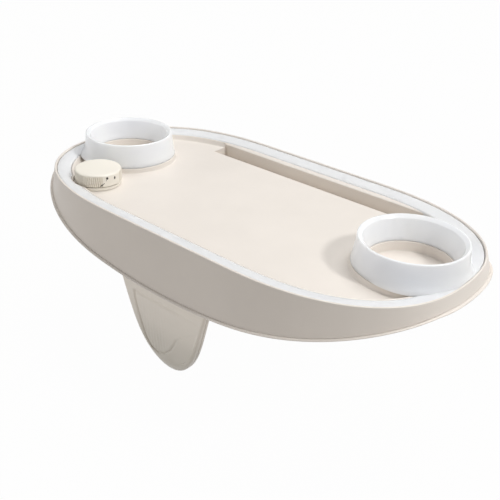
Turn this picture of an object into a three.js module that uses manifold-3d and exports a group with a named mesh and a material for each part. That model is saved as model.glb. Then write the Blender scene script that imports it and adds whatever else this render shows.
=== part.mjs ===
// Hot tub tray: a lit tray with two cup rings and a phone slot, held by a tongue under its front edge.
// Millimetres, +Z up, +X along the tray, +Y from its front edge to its back. All shapes are made in the rim
// frame, whose z = 0 is the top of the lip; the last group moves the origin to the tongue's rear pad.
import * as THREE from 'three';
import { mergeVertices } from 'three/addons/utils/BufferGeometryUtils.js';
import Module from 'manifold-3d';

const wasm = await Module();
wasm.setup();

// Tray outline, measured over the lip
const trayLength = 480;
const trayWidth = 248.4;
const sideFlat = 148;
const outlinePower = 2.42;

// Skirt, whose lower edge hangs in a belly, and the cover under it
const endDepth = 13.2;
const bellyDrop = 46.4;
const bellyPower = 1.06;
const skirtFlare = 3.8;
const flangeReach = 2.8;
const skirtWall = 3;
const coverThickness = 2.2;

// Clearances
const seatGap = 0.3;
const slideGap = 0.4;
const turnGap = 0.15;
const runGap = 0.06;
const cutOver = 20;
const cutPast = 1;
const tipRoom = 0.5;

// Rim: lip, light channel, rib and floor
const lipWidth = 2.6;
const lipRound = 0.8;
const channelWidth = 14.7;
const channelDepth = 8.5;
const ribWidth = 2;
const ribDrop = 4.2;
const floorDrop = 9.6;
const floorSlope = 2.7;
const floorThickness = 2.8;
const floorRibThickness = 2;
const floorRibDepth = 8;
const floorRibSpacing = 64;

// Cup wells, collars and rings
const cupInset = 55.85;
const cupRadius = 38.5;
const cupDepth = 2.4;
const wellWall = 2;
const wellBottom = 2.4;
const collarRadius = 53.2;
const collarTaper = 1;
const collarHeight = 5.1;
const ringRise = 20.9;
const ringWall = 5.2;
const ringTopRadius = 47.2;
const ringMidRadius = 49.2;
const ringBaseRadius = 51.6;
const ringRound = 1.4;
const ringFootHeight = 6;

// Diffuser band
const bandThickness = 2;
const bandTopDrop = 0.6;
const bandEdgeDrop = 3.8;
const bandLeg = 1.5;

// Light strip standing against the outer leg of the diffuser
const stripThickness = 0.6;
const stripHeight = 3.2;
const lampLength = 5;
const lampDepth = 1.2;
const lampHeight = 2.4;
const lampsPerSide = 8;
const stripBreak = 9;

// Phone slot along the back and the ledge behind it
const slotLength = 254;
const slotWidth = 14;
const slotDepth = 15;
const slotInset = 28.2;
const slotWall = 2;

// Switch knob
const knobToCup = 81;
const knobBearingDegrees = 64.6;
const knobRadius = 24.5;
const knobTop = 17.6;
const knobWall = 2.3;
const knobRound = 1.8;
const knobPocketGap = 2;
const knobRibs = 56;
const knobRibDepth = 0.6;
const knobPlainRibs = 12;
const knobPlainPast = 2;
const baseHeight = 4.3;
const baseInset = 0.5;
const baseHole = 12;

// Rotary switch under the knob
const shaftRadius = 3;
const shaftFlat = 0.9;
const bushRadius = 4.6;
const bushRise = 4.7;
const nutRadius = 8;
const nutHeight = 2.7;
const switchSide = 22;
const switchHeight = 11;
const switchGasketRadius = 10;
const switchGasketThickness = 1;
const terminalWidth = 2;
const terminalThickness = 1;
const terminalLength = 4;
const terminalPitch = 7.4;
const shaftSink = 4;
const hubRadius = 6.5;
const shaftGrip = 7.5;

// Battery box, cells and door
const cellRadius = 7.1;
const cellLength = 49.5;
const nubRadius = 2.7;
const nubLength = 1;
const cellPitch = 15.2;
const cellCount = 3;
const contactRoom = 4.5;
const contactThickness = 0.5;
const contactSide = 11;
const springRadius = 4.2;
const springTaper = 0.6;
const boxWall = 2;
const doorTop = 55.9;
const doorMargin = 18;
const doorSideMargin = 8;
const doorGasketThickness = 1;
const doorGasketWidth = 4;
const doorGasketMargin = 1;
const doorCorner = 4;
const doorScrewInset = 4.5;
const padThickness = 3;
const padMargin = 3.5;

// Driver board
const boardLength = 46;
const boardWidth = 26;
const boardThickness = 1.6;
const boardX = -85;
const boardY = -45;
const boardLift = 41.7;
const postRadius = 3;
const postInset = 4;
const chip = { length: 10, width: 8, height: 1.8, x: -2, y: 1 };
const capacitor = { radius: 3.2, height: 8, x: 10, y: 6 };
const socketSide = 6;
const socketHeight = 4.5;

// Leads
const leadRadius = 1.3;
const leadSides = 8;
const leadSteps = 11;
const leadStraight = 6;
const leadBend = 4;
const leadRise = 12;

// Screws: head radius, head height, shank radius, length
const coverScrew = { head: 3.2, headHeight: 2.2, shank: 1.4, length: 10 };
const bracketScrew = { head: 3.2, headHeight: 2.2, shank: 1.5, length: 16 };
const tongueScrew = { head: 2.6, headHeight: 1.5, shank: 1.2, length: 6.4 };
const doorScrew = { head: 2.4, headHeight: 0.8, shank: 1.1, length: 8 };
const boardScrew = { head: 2.2, headHeight: 1.2, shank: 1.1, length: 6 };
const bossWall = 2.6;
const headRecess = 1.4;
const endScrewOut = 21;
const endScrewAside = 14;
const cornerScrewOut = 7;
const cornerScrewInset = 17;
const backScrewReach = 45;
const backScrewAside = 10;
const bracketScrewReach = 30;
const bracketScrewRows = [16.4, 38.4];
const tongueScrewEdge = 8;
const tongueHeadSink = 0.5;
const tongueScrewTopDrop = 12;
const tongueScrewTipRise = 9;

// Wall on the cover that finds the inside of the skirt
const locatorHeight = 5;
const locatorLean = 1.6;
const locatorThickness = 3;
const locatorPastCup = 14;

// Tongue that slips between the tub wall and its strap
const tongueHalfWidth = 58;
const tongueLength = 93.2;
const tongueTaper = 0.5;
const tongueTipPower = 6;
const tongueInset = 6.5;
const tongueLean = 8;
const tongueThickness = 8.7;
const tongueFrontDepth = 4.3;
const tongueWall = 2.4;
const tongueFrontWall = 3;
const tongueFrontRoof = 5.4;
const tongueBackRoof = 8.4;
const panelMargin = 13;
const panelTopDrop = 16;
const panelDepth = 1.2;
const padInset = 14.2;
const padSet = 16.3;
const padTopDrop = 14;
const bracketReach = 47.2;
const bracketThickness = 9;
const bracketHalfWidth = 46;

// Facet counts
const roundSteps = 10;
const flatSteps = 3;
const circleSides = 36;
const smallSides = 10;
const shaftSides = 20;
const cornerSegments = 4;
const screwSides = 8;
const tongueSteps = 12;

// Values that follow from the driving sizes
const halfLength = trayLength / 2;
const halfWidth = trayWidth / 2;
const cupX = halfLength - cupInset;
const collarTop = collarHeight - floorDrop;
const cupFloor = -floorDrop - cupDepth;
const ceiling = -floorDrop - floorThickness;
const channelInner = lipWidth + channelWidth;
const ribInner = channelInner + ribWidth;
const floorEdge = ribInner + floorSlope;
const knobBearing = THREE.MathUtils.degToRad(knobBearingDegrees);
const knobX = knobToCup * Math.cos(knobBearing) - cupX;
const knobY = -knobToCup * Math.sin(knobBearing);
const knobPocket = knobRadius + knobPocketGap;
const slotBack = halfWidth - slotInset;
const slotFront = slotBack - slotWidth;
const slotFloor = -floorDrop - slotDepth;
const tongueTop = -endDepth - bellyDrop;
const tongueFrontY = tongueInset - halfWidth - skirtFlare - flangeReach;
const tongueTilt = Math.atan2(tongueLean, tongueLength);
const tongueSeam = tongueFrontDepth + seatGap;
const padY = tongueFrontY + padSet;
const padZ = tongueTop - padTopDrop - (tongueLength - padTopDrop - padInset) / 2;

// Solid helpers

function facesOut(position, triangles) {
  let volume = 0;
  const corner = (k) => new THREE.Vector3().fromArray(position, 3 * triangles[k]);
  for (let k = 0; k < triangles.length; k += 3) {
    volume += corner(k).dot(corner(k + 1).cross(corner(k + 2)));
  }
  return volume > 0;
}

function solidOf(geometry) {
  const bare = geometry.clone();
  bare.deleteAttribute('normal');
  bare.deleteAttribute('uv');
  const merged = mergeVertices(bare, 1e-4);
  const position = merged.attributes.position.array;
  const index = merged.index.array;
  const triangles = [];
  for (let k = 0; k < index.length; k += 3) {
    const [a, b, c] = [index[k], index[k + 1], index[k + 2]];
    if (a !== b && b !== c && c !== a) {
      triangles.push(a, b, c);
    }
  }
  if (!facesOut(position, triangles)) {
    triangles.reverse();
  }
  const mesh = new wasm.Mesh({
    numProp: 3,
    vertProperties: Float32Array.from(position),
    triVerts: Uint32Array.from(triangles),
  });
  return new wasm.Manifold(mesh);
}

function geometryOf(solid) {
  const mesh = solid.getMesh();
  const geometry = new THREE.BufferGeometry();
  geometry.setAttribute('position', new THREE.BufferAttribute(mesh.vertProperties, 3));
  geometry.setIndex(new THREE.BufferAttribute(mesh.triVerts, 1));
  geometry.computeVertexNormals();
  return geometry;
}

function joined(solids) {
  return solids.reduce((sum, solid) => sum.add(solid));
}

function block(x0, x1, y0, y1, z0, z1) {
  const geometry = new THREE.BoxGeometry(x1 - x0, y1 - y0, z1 - z0);
  geometry.translate((x0 + x1) / 2, (y0 + y1) / 2, (z0 + z1) / 2);
  return solidOf(geometry);
}

function post(x, y, radius, z0, z1, sides = circleSides) {
  const geometry = new THREE.CylinderGeometry(radius, radius, z1 - z0, sides);
  geometry.rotateX(Math.PI / 2);
  geometry.translate(x, y, (z0 + z1) / 2);
  return solidOf(geometry);
}

// A flat plate with round corners
function roundedBlock(halfX, halfY, corner, z0, z1) {
  const shape = new THREE.Shape();
  const x = halfX - corner;
  const y = halfY - corner;
  [[x, y], [-x, y], [-x, -y], [x, -y]].forEach(([cx, cy], k) => {
    shape.absarc(cx, cy, corner, (k * Math.PI) / 2, ((k + 1) * Math.PI) / 2, false);
  });
  const settings = { depth: z1 - z0, bevelEnabled: false, curveSegments: cornerSegments };
  const geometry = new THREE.ExtrudeGeometry(shape, settings);
  geometry.translate(0, 0, z0);
  return solidOf(geometry);
}

// A turned piece: profile points are [radius, height], closed on the axis or on themselves
function turned(x, y, profile, sides = circleSides) {
  const points = profile.map(([radius, height]) => new THREE.Vector2(radius, height));
  const geometry = new THREE.LatheGeometry(points, sides);
  geometry.rotateX(Math.PI / 2);
  geometry.translate(x, y, 0);
  return solidOf(geometry);
}

// A flat outline in X and Z, given thickness along Y
function slab(shape, y0, y1, curveSegments = 12) {
  const geometry = new THREE.ExtrudeGeometry(shape, { depth: y1 - y0, bevelEnabled: false, curveSegments });
  geometry.rotateX(Math.PI / 2);
  geometry.translate(0, y1, 0);
  return solidOf(geometry);
}

// Tray outline: straight sides run into power-curve ends; each sample carries its outward normal

function outlineSample(x, y) {
  const curved = halfLength - sideFlat / 2;
  const u = Math.max(0, Math.abs(x) - sideFlat / 2) / curved;
  const v = Math.abs(y) / halfWidth;
  const normal = new THREE.Vector2(
    (Math.sign(x) * u ** (outlinePower - 1)) / curved,
    (Math.sign(y) * v ** (outlinePower - 1)) / halfWidth,
  ).normalize();
  return { x, y, normal };
}

function makeOutline() {
  const quarter = [];
  for (let k = 0; k <= roundSteps; k += 1) {
    const turn = ((Math.PI / 2) * k) / roundSteps;
    const along = Math.max(0, Math.cos(turn)) ** (2 / outlinePower);
    const across = Math.sin(turn) ** (2 / outlinePower);
    quarter.push([sideFlat / 2 + (halfLength - sideFlat / 2) * along, halfWidth * across]);
  }
  for (let k = 1; k <= flatSteps; k += 1) {
    quarter.push([(sideFlat / 2) * (1 - k / flatSteps), halfWidth]);
  }
  const mirrored = quarter.slice(0, -1).reverse().map(([x, y]) => [-x, y]);
  const backHalf = [...quarter, ...mirrored];
  const frontHalf = backHalf.slice(1, -1).reverse().map(([x, y]) => [x, -y]);
  return [...backHalf, ...frontHalf].map(([x, y]) => outlineSample(x, y));
}

const outline = makeOutline();

// One ring of points round the tray; reach is outwards, and both values may depend on the sample
function trayRing(reach, height) {
  return outline.map((sample) => {
    const out = typeof reach === 'function' ? reach(sample) : reach;
    const x = sample.x + out * sample.normal.x;
    const y = sample.y + out * sample.normal.y;
    return [x, y, typeof height === 'function' ? height(x) : height];
  });
}

// Skin over a stack of rings, capped by strips across the tray, or closed on itself round the tray
function loft(rings, closedProfile = false) {
  const count = outline.length;
  const indices = [];
  const quad = (a, b, c, d) => indices.push(a, b, c, a, c, d);
  const last = closedProfile ? rings.length : rings.length - 1;
  for (let level = 0; level < last; level += 1) {
    const lower = level * count;
    const upper = ((level + 1) % rings.length) * count;
    for (let k = 0; k < count; k += 1) {
      const next = (k + 1) % count;
      quad(lower + k, lower + next, upper + next, upper + k);
    }
  }
  if (!closedProfile) {
    const top = (rings.length - 1) * count;
    for (let k = 0; k < count / 2; k += 1) {
      const far = (count - k) % count;
      quad(far, count - k - 1, k + 1, k);
      quad(top + k, top + k + 1, top + count - k - 1, top + far);
    }
  }
  const geometry = new THREE.BufferGeometry();
  geometry.setAttribute('position', new THREE.Float32BufferAttribute(rings.flat(2), 3));
  geometry.setIndex(indices);
  return solidOf(geometry);
}

function trayPrism(reach, z0, z1) {
  return loft([trayRing(reach, z0), trayRing(reach, z1)]);
}

function trayBand(outer, inner, z0, z1) {
  const rings = [trayRing(-outer, z0), trayRing(-outer, z1), trayRing(-inner, z1), trayRing(-inner, z0)];
  return loft(rings, true);
}

// Belly: the curve of the lower edge, which depends on the place along the tray alone

function bellyZ(x) {
  const share = Math.min(1, Math.abs(x) / halfLength);
  return -endDepth - bellyDrop * (1 - share ** 2) ** bellyPower;
}

function bellyShape(lift, farZ) {
  const edge = trayRing(skirtFlare + flangeReach, 0).slice(0, outline.length / 2 + 1);
  const points = edge.map(([x]) => new THREE.Vector2(x, bellyZ(x) + lift));
  const reachX = points[0].x + cutOver;
  points.unshift(new THREE.Vector2(reachX, points[0].y));
  points.push(new THREE.Vector2(-reachX, points[points.length - 1].y));
  points.push(new THREE.Vector2(-reachX, farZ), new THREE.Vector2(reachX, farZ));
  return new THREE.Shape(points);
}

function aboveBelly(lift) {
  return slab(bellyShape(lift, ringRise + cutOver), -halfWidth - cutOver, halfWidth + cutOver);
}

function belowBelly(drop) {
  const farZ = tongueTop - tongueLength - cutOver;
  return slab(bellyShape(-drop, farZ), -halfWidth - cutOver, halfWidth + cutOver);
}

// Places of the cover screws: four by the ends, four by the round corners, two behind the slot
const endScrewX = cupX + endScrewOut;
const endScrewY = cupRadius + endScrewAside;
const cornerScrewX = slotLength / 2 + cornerScrewOut;
const cornerScrewY = halfWidth - cornerScrewInset;
const backScrewY = slotBack + slotWall + coverScrew.shank + bossWall + backScrewAside;
const coverScrewPlaces = [];
for (const side of [-1, 1]) {
  for (const end of [-1, 1]) {
    coverScrewPlaces.push([side * endScrewX, end * endScrewY], [side * cornerScrewX, end * cornerScrewY]);
  }
  coverScrewPlaces.push([side * backScrewReach, backScrewY]);
}
const coverBossTop = headRecess + coverScrew.headHeight + bossWall;
const screwBossRadius = coverScrew.shank + bossWall;

// Places of the bracket screws under the tongue's flange
const bracketScrewPlaces = [];
for (const side of [-1, 1]) {
  for (const row of bracketScrewRows) {
    bracketScrewPlaces.push([side * bracketScrewReach, padY + row]);
  }
}
const flangeLow = bellyZ(bracketHalfWidth) - seatGap - bracketThickness;

// Tray body: one moulded shell

function cupPosts(radius, z0, z1) {
  return joined([-1, 1].map((side) => post(side * cupX, 0, radius, z0, z1)));
}

function collars() {
  const profile = [
    [0, ceiling],
    [collarRadius, ceiling],
    [collarRadius, -floorDrop],
    [collarRadius - collarTaper, collarTop],
    [0, collarTop],
  ];
  return joined([-1, 1].map((side) => turned(side * cupX, 0, profile)));
}

function bodyBlank() {
  const skirtEdge = (x) => bellyZ(x) + coverThickness + seatGap;
  return loft([
    trayRing(skirtFlare, skirtEdge),
    trayRing(0, -lipRound),
    trayRing(-lipRound, 0),
  ]);
}

function floorPocket() {
  const slope = loft([
    trayRing(-floorEdge, -floorDrop),
    trayRing(-ribInner, -ribDrop),
    trayRing(-ribInner, cutOver),
  ]);
  const ledge = block(
    -slotLength / 2 - slotWall,
    slotLength / 2 + slotWall,
    slotBack,
    halfWidth,
    ceiling,
    cutOver,
  );
  return slope.subtract(ledge);
}

function channel() {
  return trayBand(lipWidth, channelInner, -channelDepth, cutOver)
    .subtract(cupPosts(cupRadius + wellWall, ceiling, cutOver))
    .subtract(post(knobX, knobY, knobPocket + ribWidth, ceiling, cutOver));
}

// Space under the floor, bounded by the inside of the flared skirt
function underside() {
  const skirtEdge = (x) => bellyZ(x) + coverThickness + seatGap;
  const bottom = (x) => Math.min(skirtEdge(x), ceiling) - cutPast;
  const topReach = (sample) => skirtFlare * Math.min(1, ceiling / skirtEdge(sample.x)) - skirtWall;
  return loft([trayRing(skirtFlare - skirtWall, bottom), trayRing(topReach, ceiling)]);
}

function floorRibs() {
  const reach = halfLength - 2 * cupInset - cupRadius / 2;
  const crossReach = slotFront - slotWall;
  const ribs = [];
  for (const side of [-1, 1]) {
    const y = (side * floorRibSpacing) / 2;
    const x = side * floorRibSpacing;
    ribs.push(block(-reach, reach, y - floorRibThickness / 2, y + floorRibThickness / 2,
      ceiling - floorRibDepth, ceiling + cutPast));
    ribs.push(block(x - floorRibThickness / 2, x + floorRibThickness / 2, -crossReach, crossReach,
      ceiling - floorRibDepth, ceiling + cutPast));
  }
  return joined(ribs);
}

function bodyBosses() {
  return joined(coverScrewPlaces.map(([x, y]) => {
    const foot = bellyZ(x) + coverBossTop + seatGap;
    return post(x, y, screwBossRadius, foot, ceiling + cutPast, smallSides);
  }));
}

function bodyPilots() {
  return joined(coverScrewPlaces.map(([x, y]) => {
    const foot = bellyZ(x) + coverBossTop + seatGap;
    const tip = bellyZ(x) + headRecess + coverScrew.length + cutPast;
    return post(x, y, coverScrew.shank + turnGap, foot - cutPast, Math.min(tip, ceiling), screwSides);
  }));
}

// Hole that takes the strip's lead up into the channel, at the board's place along the front
const stripInset = lipWidth + seatGap + bandLeg + seatGap;
const stripLeadY = -halfWidth + stripInset + stripThickness / 2;

function trayBody() {
  const slotPocket = block(-slotLength / 2, slotLength / 2, slotFront, slotBack, slotFloor, cutOver);
  const slotTrough = block(
    -slotLength / 2 - slotWall,
    slotLength / 2 + slotWall,
    slotFront - slotWall,
    slotBack + slotWall,
    slotFloor - slotWall,
    ceiling + cutPast,
  );
  const wellPots = cupPosts(cupRadius + wellWall, cupFloor - wellBottom, ceiling + cutPast);
  const kept = joined([slotTrough, wellPots, floorRibs(), bodyBosses()]);
  return bodyBlank()
    .subtract(trayPrism(-lipWidth, -ribDrop, cutOver))
    .subtract(floorPocket())
    .subtract(post(knobX, knobY, knobPocket, -floorDrop, cutOver))
    .add(collars())
    .subtract(underside().subtract(kept))
    .intersect(aboveBelly(coverThickness + seatGap))
    .subtract(cupPosts(collarRadius + turnGap, collarTop, cutOver))
    .subtract(channel())
    .subtract(cupPosts(cupRadius, cupFloor, cutOver))
    .subtract(slotPocket)
    .subtract(bodyPilots())
    .subtract(post(knobX, knobY, bushRadius + seatGap, ceiling - cutPast, 0, smallSides))
    .subtract(post(boardX, stripLeadY, leadRadius + slideGap, ceiling - cutPast, 0, smallSides));
}

// Diffuser: rim band with two legs, moulded in one with the cup rings

function diffuserBand() {
  const outer = lipWidth + seatGap;
  const inner = channelInner - seatGap;
  const foot = -channelDepth + seatGap;
  const under = (reach) => {
    const share = (reach - outer) / (inner - outer);
    return -bandTopDrop - bandThickness - share * (bandEdgeDrop - bandTopDrop);
  };
  const rings = [
    trayRing(-outer, foot),
    trayRing(-outer, -bandTopDrop),
    trayRing(-inner, -bandEdgeDrop),
    trayRing(-inner, foot),
    trayRing(-inner + bandLeg, foot),
    trayRing(-inner + bandLeg, under(inner - bandLeg)),
    trayRing(-outer - bandLeg, under(outer + bandLeg)),
    trayRing(-outer - bandLeg, foot),
  ];
  return loft(rings, true);
}

// A cup ring before it is bored, and the bore that leaves its sloped inside and clears the well below
function ringBlank(side) {
  const foot = collarTop + seatGap;
  return turned(side * cupX, 0, [
    [0, foot],
    [ringBaseRadius, foot],
    [ringMidRadius, foot + ringFootHeight],
    [ringTopRadius, ringRise - ringRound],
    [ringTopRadius - ringRound, ringRise],
    [0, ringRise],
  ]);
}

function ringBore(side) {
  const innerTop = ringTopRadius - ringWall;
  const innerBase = cupRadius + wellWall + seatGap;
  return turned(side * cupX, 0, [
    [0, -channelDepth - cutPast],
    [innerBase, -channelDepth - cutPast],
    [innerBase, collarTop + seatGap],
    [innerTop, ringRise - ringRound],
    [innerTop + ringRound, ringRise],
    [innerTop + ringRound, ringRise + cutPast],
    [0, ringRise + cutPast],
  ]);
}

function lightDiffuser() {
  const notch = post(knobX, knobY, knobPocket + ribWidth + seatGap, -channelDepth - cutPast, 0);
  return joined([diffuserBand(), ringBlank(-1), ringBlank(1)])
    .subtract(joined([ringBore(-1), ringBore(1), notch]));
}

// Light strip: a thin ribbon on edge with a row of lamps facing inwards, open at the lead

function ledStrip() {
  const foot = -channelDepth + seatGap;
  const ribbon = trayBand(stripInset, stripInset + stripThickness, foot, foot + stripHeight);
  const lamps = [];
  const step = outline.length / (2 * lampsPerSide);
  for (let k = 0; k < 2 * lampsPerSide; k += 1) {
    const sample = outline[Math.round(k * step)];
    const geometry = new THREE.BoxGeometry(lampDepth, lampLength, lampHeight);
    geometry.rotateZ(Math.atan2(sample.normal.y, sample.normal.x));
    const reach = -stripInset - stripThickness - lampDepth / 2 + seatGap;
    geometry.translate(
      sample.x + reach * sample.normal.x,
      sample.y + reach * sample.normal.y,
      foot + stripHeight / 2,
    );
    lamps.push(solidOf(geometry));
  }
  const gap = block(
    boardX + 2 * leadRadius,
    boardX + 2 * leadRadius + stripBreak,
    -halfWidth,
    -halfWidth + channelInner,
    -channelDepth,
    0,
  );
  return joined([ribbon, ...lamps]).subtract(gap);
}

// Bottom cover: a plate bent to the belly, with screw bosses, battery frame, board posts and a locating wall

const cellHalf = cellLength / 2;
const boxHalfX = cellHalf + nubLength / 2 + contactRoom;
const boxHalfY = ((cellCount - 1) * cellPitch) / 2 + cellRadius + slideGap;
const doorHalfX = boxHalfX + doorMargin;
const doorHalfY = boxHalfY + doorSideMargin;
const frameBottom = -doorTop + seatGap + doorGasketThickness + seatGap;
const frameTop = frameBottom + padThickness;
const doorScrewPlaces = [];
for (const side of [-1, 1]) {
  for (const end of [-1, 1]) {
    doorScrewPlaces.push([side * (doorHalfX - doorScrewInset), end * (doorHalfY - doorScrewInset)]);
  }
}
const boardPosts = [];
for (const side of [-1, 1]) {
  for (const end of [-1, 1]) {
    boardPosts.push([
      boardX + side * (boardLength / 2 - postInset),
      boardY + end * (boardWidth / 2 - postInset),
    ]);
  }
}
const boardScrewPlaces = [boardPosts[0], boardPosts[3]];

function locatingWall() {
  const outer = skirtFlare - skirtWall - slideGap;
  const lift = coverThickness + locatorHeight;
  const wallTop = (x) => bellyZ(x) + lift;
  const rings = [
    trayRing(outer, bellyZ),
    trayRing(outer - locatorLean, wallTop),
    trayRing(outer - locatorThickness, wallTop),
    trayRing(outer - locatorThickness, bellyZ),
  ];
  const reach = cupX + locatorPastCup;
  const along = block(-reach, reach, -halfWidth, halfWidth, tongueTop - cutOver, 0);
  return loft(rings, true).intersect(along);
}

function bottomCover() {
  const reach = skirtFlare + flangeReach;
  const plate = loft([trayRing(reach, bellyZ), trayRing(reach, (x) => bellyZ(x) + coverThickness)]);
  const low = tongueTop - cutOver;
  const bosses = coverScrewPlaces.map(([x, y]) => {
    return post(x, y, coverScrew.head + bossWall, low, bellyZ(x) + coverBossTop, smallSides);
  });
  const bracketBossTop = tongueTop + bracketScrew.length;
  const bracketBosses = bracketScrewPlaces.map(([x, y]) => {
    return post(x, y, bracketScrew.shank + bossWall, low, bracketBossTop, smallSides);
  });
  const posts = boardPosts.map(([x, y]) => post(x, y, postRadius, low, -boardLift - seatGap, smallSides));
  const frame = block(
    -doorHalfX - padMargin,
    doorHalfX + padMargin,
    -doorHalfY - padMargin,
    doorHalfY + padMargin,
    low,
    frameTop,
  );
  const doorBosses = doorScrewPlaces.map(([x, y]) => {
    return post(x, y, doorScrew.shank + bossWall, low, frameTop + bossWall, smallSides);
  });
  const raised = joined([locatingWall(), frame, ...bosses, ...bracketBosses, ...posts, ...doorBosses])
    .intersect(aboveBelly(coverThickness / 2));
  const headHoles = coverScrewPlaces.map(([x, y]) => {
    const seat = bellyZ(x) + headRecess + coverScrew.headHeight + seatGap;
    return post(x, y, coverScrew.head + slideGap, low, seat, smallSides);
  });
  const shankHoles = coverScrewPlaces.map(([x, y]) => {
    return post(x, y, coverScrew.shank + slideGap, low, bellyZ(x) + coverBossTop + cutPast, screwSides);
  });
  const bracketPilots = bracketScrewPlaces.map(([x, y]) => {
    return post(x, y, bracketScrew.shank + turnGap, low, bracketBossTop - bossWall, screwSides);
  });
  const boardPilots = boardScrewPlaces.map(([x, y]) => {
    const foot = -boardLift - boardScrew.length;
    return post(x, y, boardScrew.shank + turnGap, foot, -boardLift, screwSides);
  });
  const doorPilots = doorScrewPlaces.map(([x, y]) => {
    return post(x, y, doorScrew.shank + turnGap, low, frameTop + bossWall / 2, screwSides);
  });
  const recess = roundedBlock(doorHalfX, doorHalfY, doorCorner, low, frameBottom);
  const opening = block(-boxHalfX, boxHalfX, -boxHalfY, boxHalfY, low, frameTop + cutPast);
  const pilots = [...bracketPilots, ...boardPilots, ...doorPilots];
  return plate.add(raised).subtract(joined([...headHoles, ...shankHoles, ...pilots, recess, opening]));
}

// Battery door with its gasket; its lower face carries the belly on

function batteryDoor() {
  const x = doorHalfX - slideGap;
  const y = doorHalfY - slideGap;
  const corner = doorCorner - slideGap;
  const plate = roundedBlock(x, y, corner, tongueTop - cutOver, -doorTop).intersect(aboveBelly(0));
  const holes = doorScrewPlaces.map(([px, py]) => {
    return post(px, py, doorScrew.shank + slideGap, tongueTop - cutOver, 0, screwSides);
  });
  const recesses = doorScrewPlaces.map(([px, py]) => {
    return post(px, py, doorScrew.head + slideGap, tongueTop - cutOver, doorHeadTop(px), smallSides);
  });
  return plate.subtract(joined([...holes, ...recesses]));
}

function doorHeadTop(x) {
  return (bellyZ(x) - doorTop) / 2;
}

function doorGasket() {
  const x = boxHalfX + doorGasketWidth + doorGasketMargin;
  const y = boxHalfY + doorGasketWidth + doorGasketMargin;
  const z0 = -doorTop + seatGap;
  const z1 = z0 + doorGasketThickness;
  const inner = roundedBlock(
    x - doorGasketWidth,
    y - doorGasketWidth,
    doorGasketMargin,
    z0 - cutPast,
    z1 + cutPast,
  );
  return roundedBlock(x, y, doorGasketWidth + doorGasketMargin, z0, z1).subtract(inner);
}

// Battery box, an upturned tray over the cells
const cellZ = -doorTop + slideGap + cellRadius;
const boxRoof = cellZ + cellRadius + slideGap;

function batteryBox() {
  const outer = block(
    -boxHalfX - boxWall,
    boxHalfX + boxWall,
    -boxHalfY - boxWall,
    boxHalfY + boxWall,
    frameTop + seatGap,
    boxRoof + boxWall,
  );
  return outer.subtract(block(-boxHalfX, boxHalfX, -boxHalfY, boxHalfY, frameTop - cutPast, boxRoof));
}

function cellY(k) {
  return (k - (cellCount - 1) / 2) * cellPitch;
}

// Every second cell lies the other way round; way is the direction of its nub
function cellWay(k) {
  return k % 2 === 0 ? -1 : 1;
}

function batteryCell(k) {
  const profile = [
    [0, -cellHalf],
    [cellRadius, -cellHalf],
    [cellRadius, cellHalf],
    [nubRadius, cellHalf],
    [nubRadius, cellHalf + nubLength],
    [0, cellHalf + nubLength],
  ];
  const points = profile.map(([radius, height]) => new THREE.Vector2(radius, height - nubLength / 2));
  const geometry = new THREE.LatheGeometry(points, smallSides);
  geometry.rotateZ((-Math.PI / 2) * cellWay(k));
  geometry.translate(0, cellY(k), cellZ);
  return solidOf(geometry);
}

// One contact: a plate over one or two cell ends, with a spring cone or a stud for each
function contact(side, cells) {
  const plateX = boxHalfX - seatGap;
  const innerX = plateX - contactThickness;
  const ys = cells.map(cellY);
  const y0 = Math.min(...ys) - contactSide / 2;
  const y1 = Math.max(...ys) + contactSide / 2;
  const x0 = side > 0 ? innerX : -plateX;
  const plate = block(x0, x0 + contactThickness, y0, y1, cellZ - contactSide / 2, cellZ + contactSide / 2);
  const studs = cells.map((k) => {
    const meetsNub = cellWay(k) === side;
    const cellEnd = cellHalf + nubLength / 2 + seatGap;
    const length = innerX + contactThickness / 2 - cellEnd;
    const base = meetsNub ? nubRadius : springRadius;
    const geometry = new THREE.CylinderGeometry(base * springTaper, base, length, screwSides);
    geometry.rotateZ((Math.PI / 2) * side);
    geometry.translate(side * (cellEnd + length / 2), cellY(k), cellZ);
    return solidOf(geometry);
  });
  return joined([plate, ...studs]);
}

// Driver board with its chip, capacitor and three lead sockets
const boardTop = -boardLift + boardThickness;
const socketPlaces = [
  [boardX + boardLength / 2 - socketSide / 2, boardY],
  [boardX - boardLength / 2 + socketSide / 2, boardY],
  [boardX, boardY - boardWidth / 2 + socketSide / 2],
];

function driverBoard() {
  const halfX = boardLength / 2;
  const halfY = boardWidth / 2;
  const plate = block(boardX - halfX, boardX + halfX, boardY - halfY, boardY + halfY, -boardLift, boardTop);
  const chipBlock = block(
    boardX + chip.x - chip.length / 2,
    boardX + chip.x + chip.length / 2,
    boardY + chip.y - chip.width / 2,
    boardY + chip.y + chip.width / 2,
    -boardLift,
    boardTop + chip.height,
  );
  const can = post(
    boardX + capacitor.x,
    boardY + capacitor.y,
    capacitor.radius,
    -boardLift,
    boardTop + capacitor.height,
    smallSides,
  );
  const sockets = socketPlaces.map(([x, y]) => block(
    x - socketSide / 2,
    x + socketSide / 2,
    y - socketSide / 2,
    y + socketSide / 2,
    -boardLift,
    boardTop + socketHeight,
  ));
  const holes = boardScrewPlaces.map(([x, y]) => {
    return post(x, y, boardScrew.shank + seatGap, -boardLift - cutPast, boardTop + cutPast, screwSides);
  });
  return joined([plate, chipBlock, can, ...sockets]).subtract(joined(holes));
}

// Rotary switch: housing with a hollow bush that comes up through the floor
const switchTop = ceiling - seatGap - switchGasketThickness - seatGap;
const bushTop = -floorDrop + bushRise;
const knobBottom = -floorDrop + seatGap + baseHeight + seatGap;
const knobCrown = knobTop - floorDrop;
const hubBottom = bushTop + seatGap;
const shaftTop = hubBottom + shaftGrip;

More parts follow.
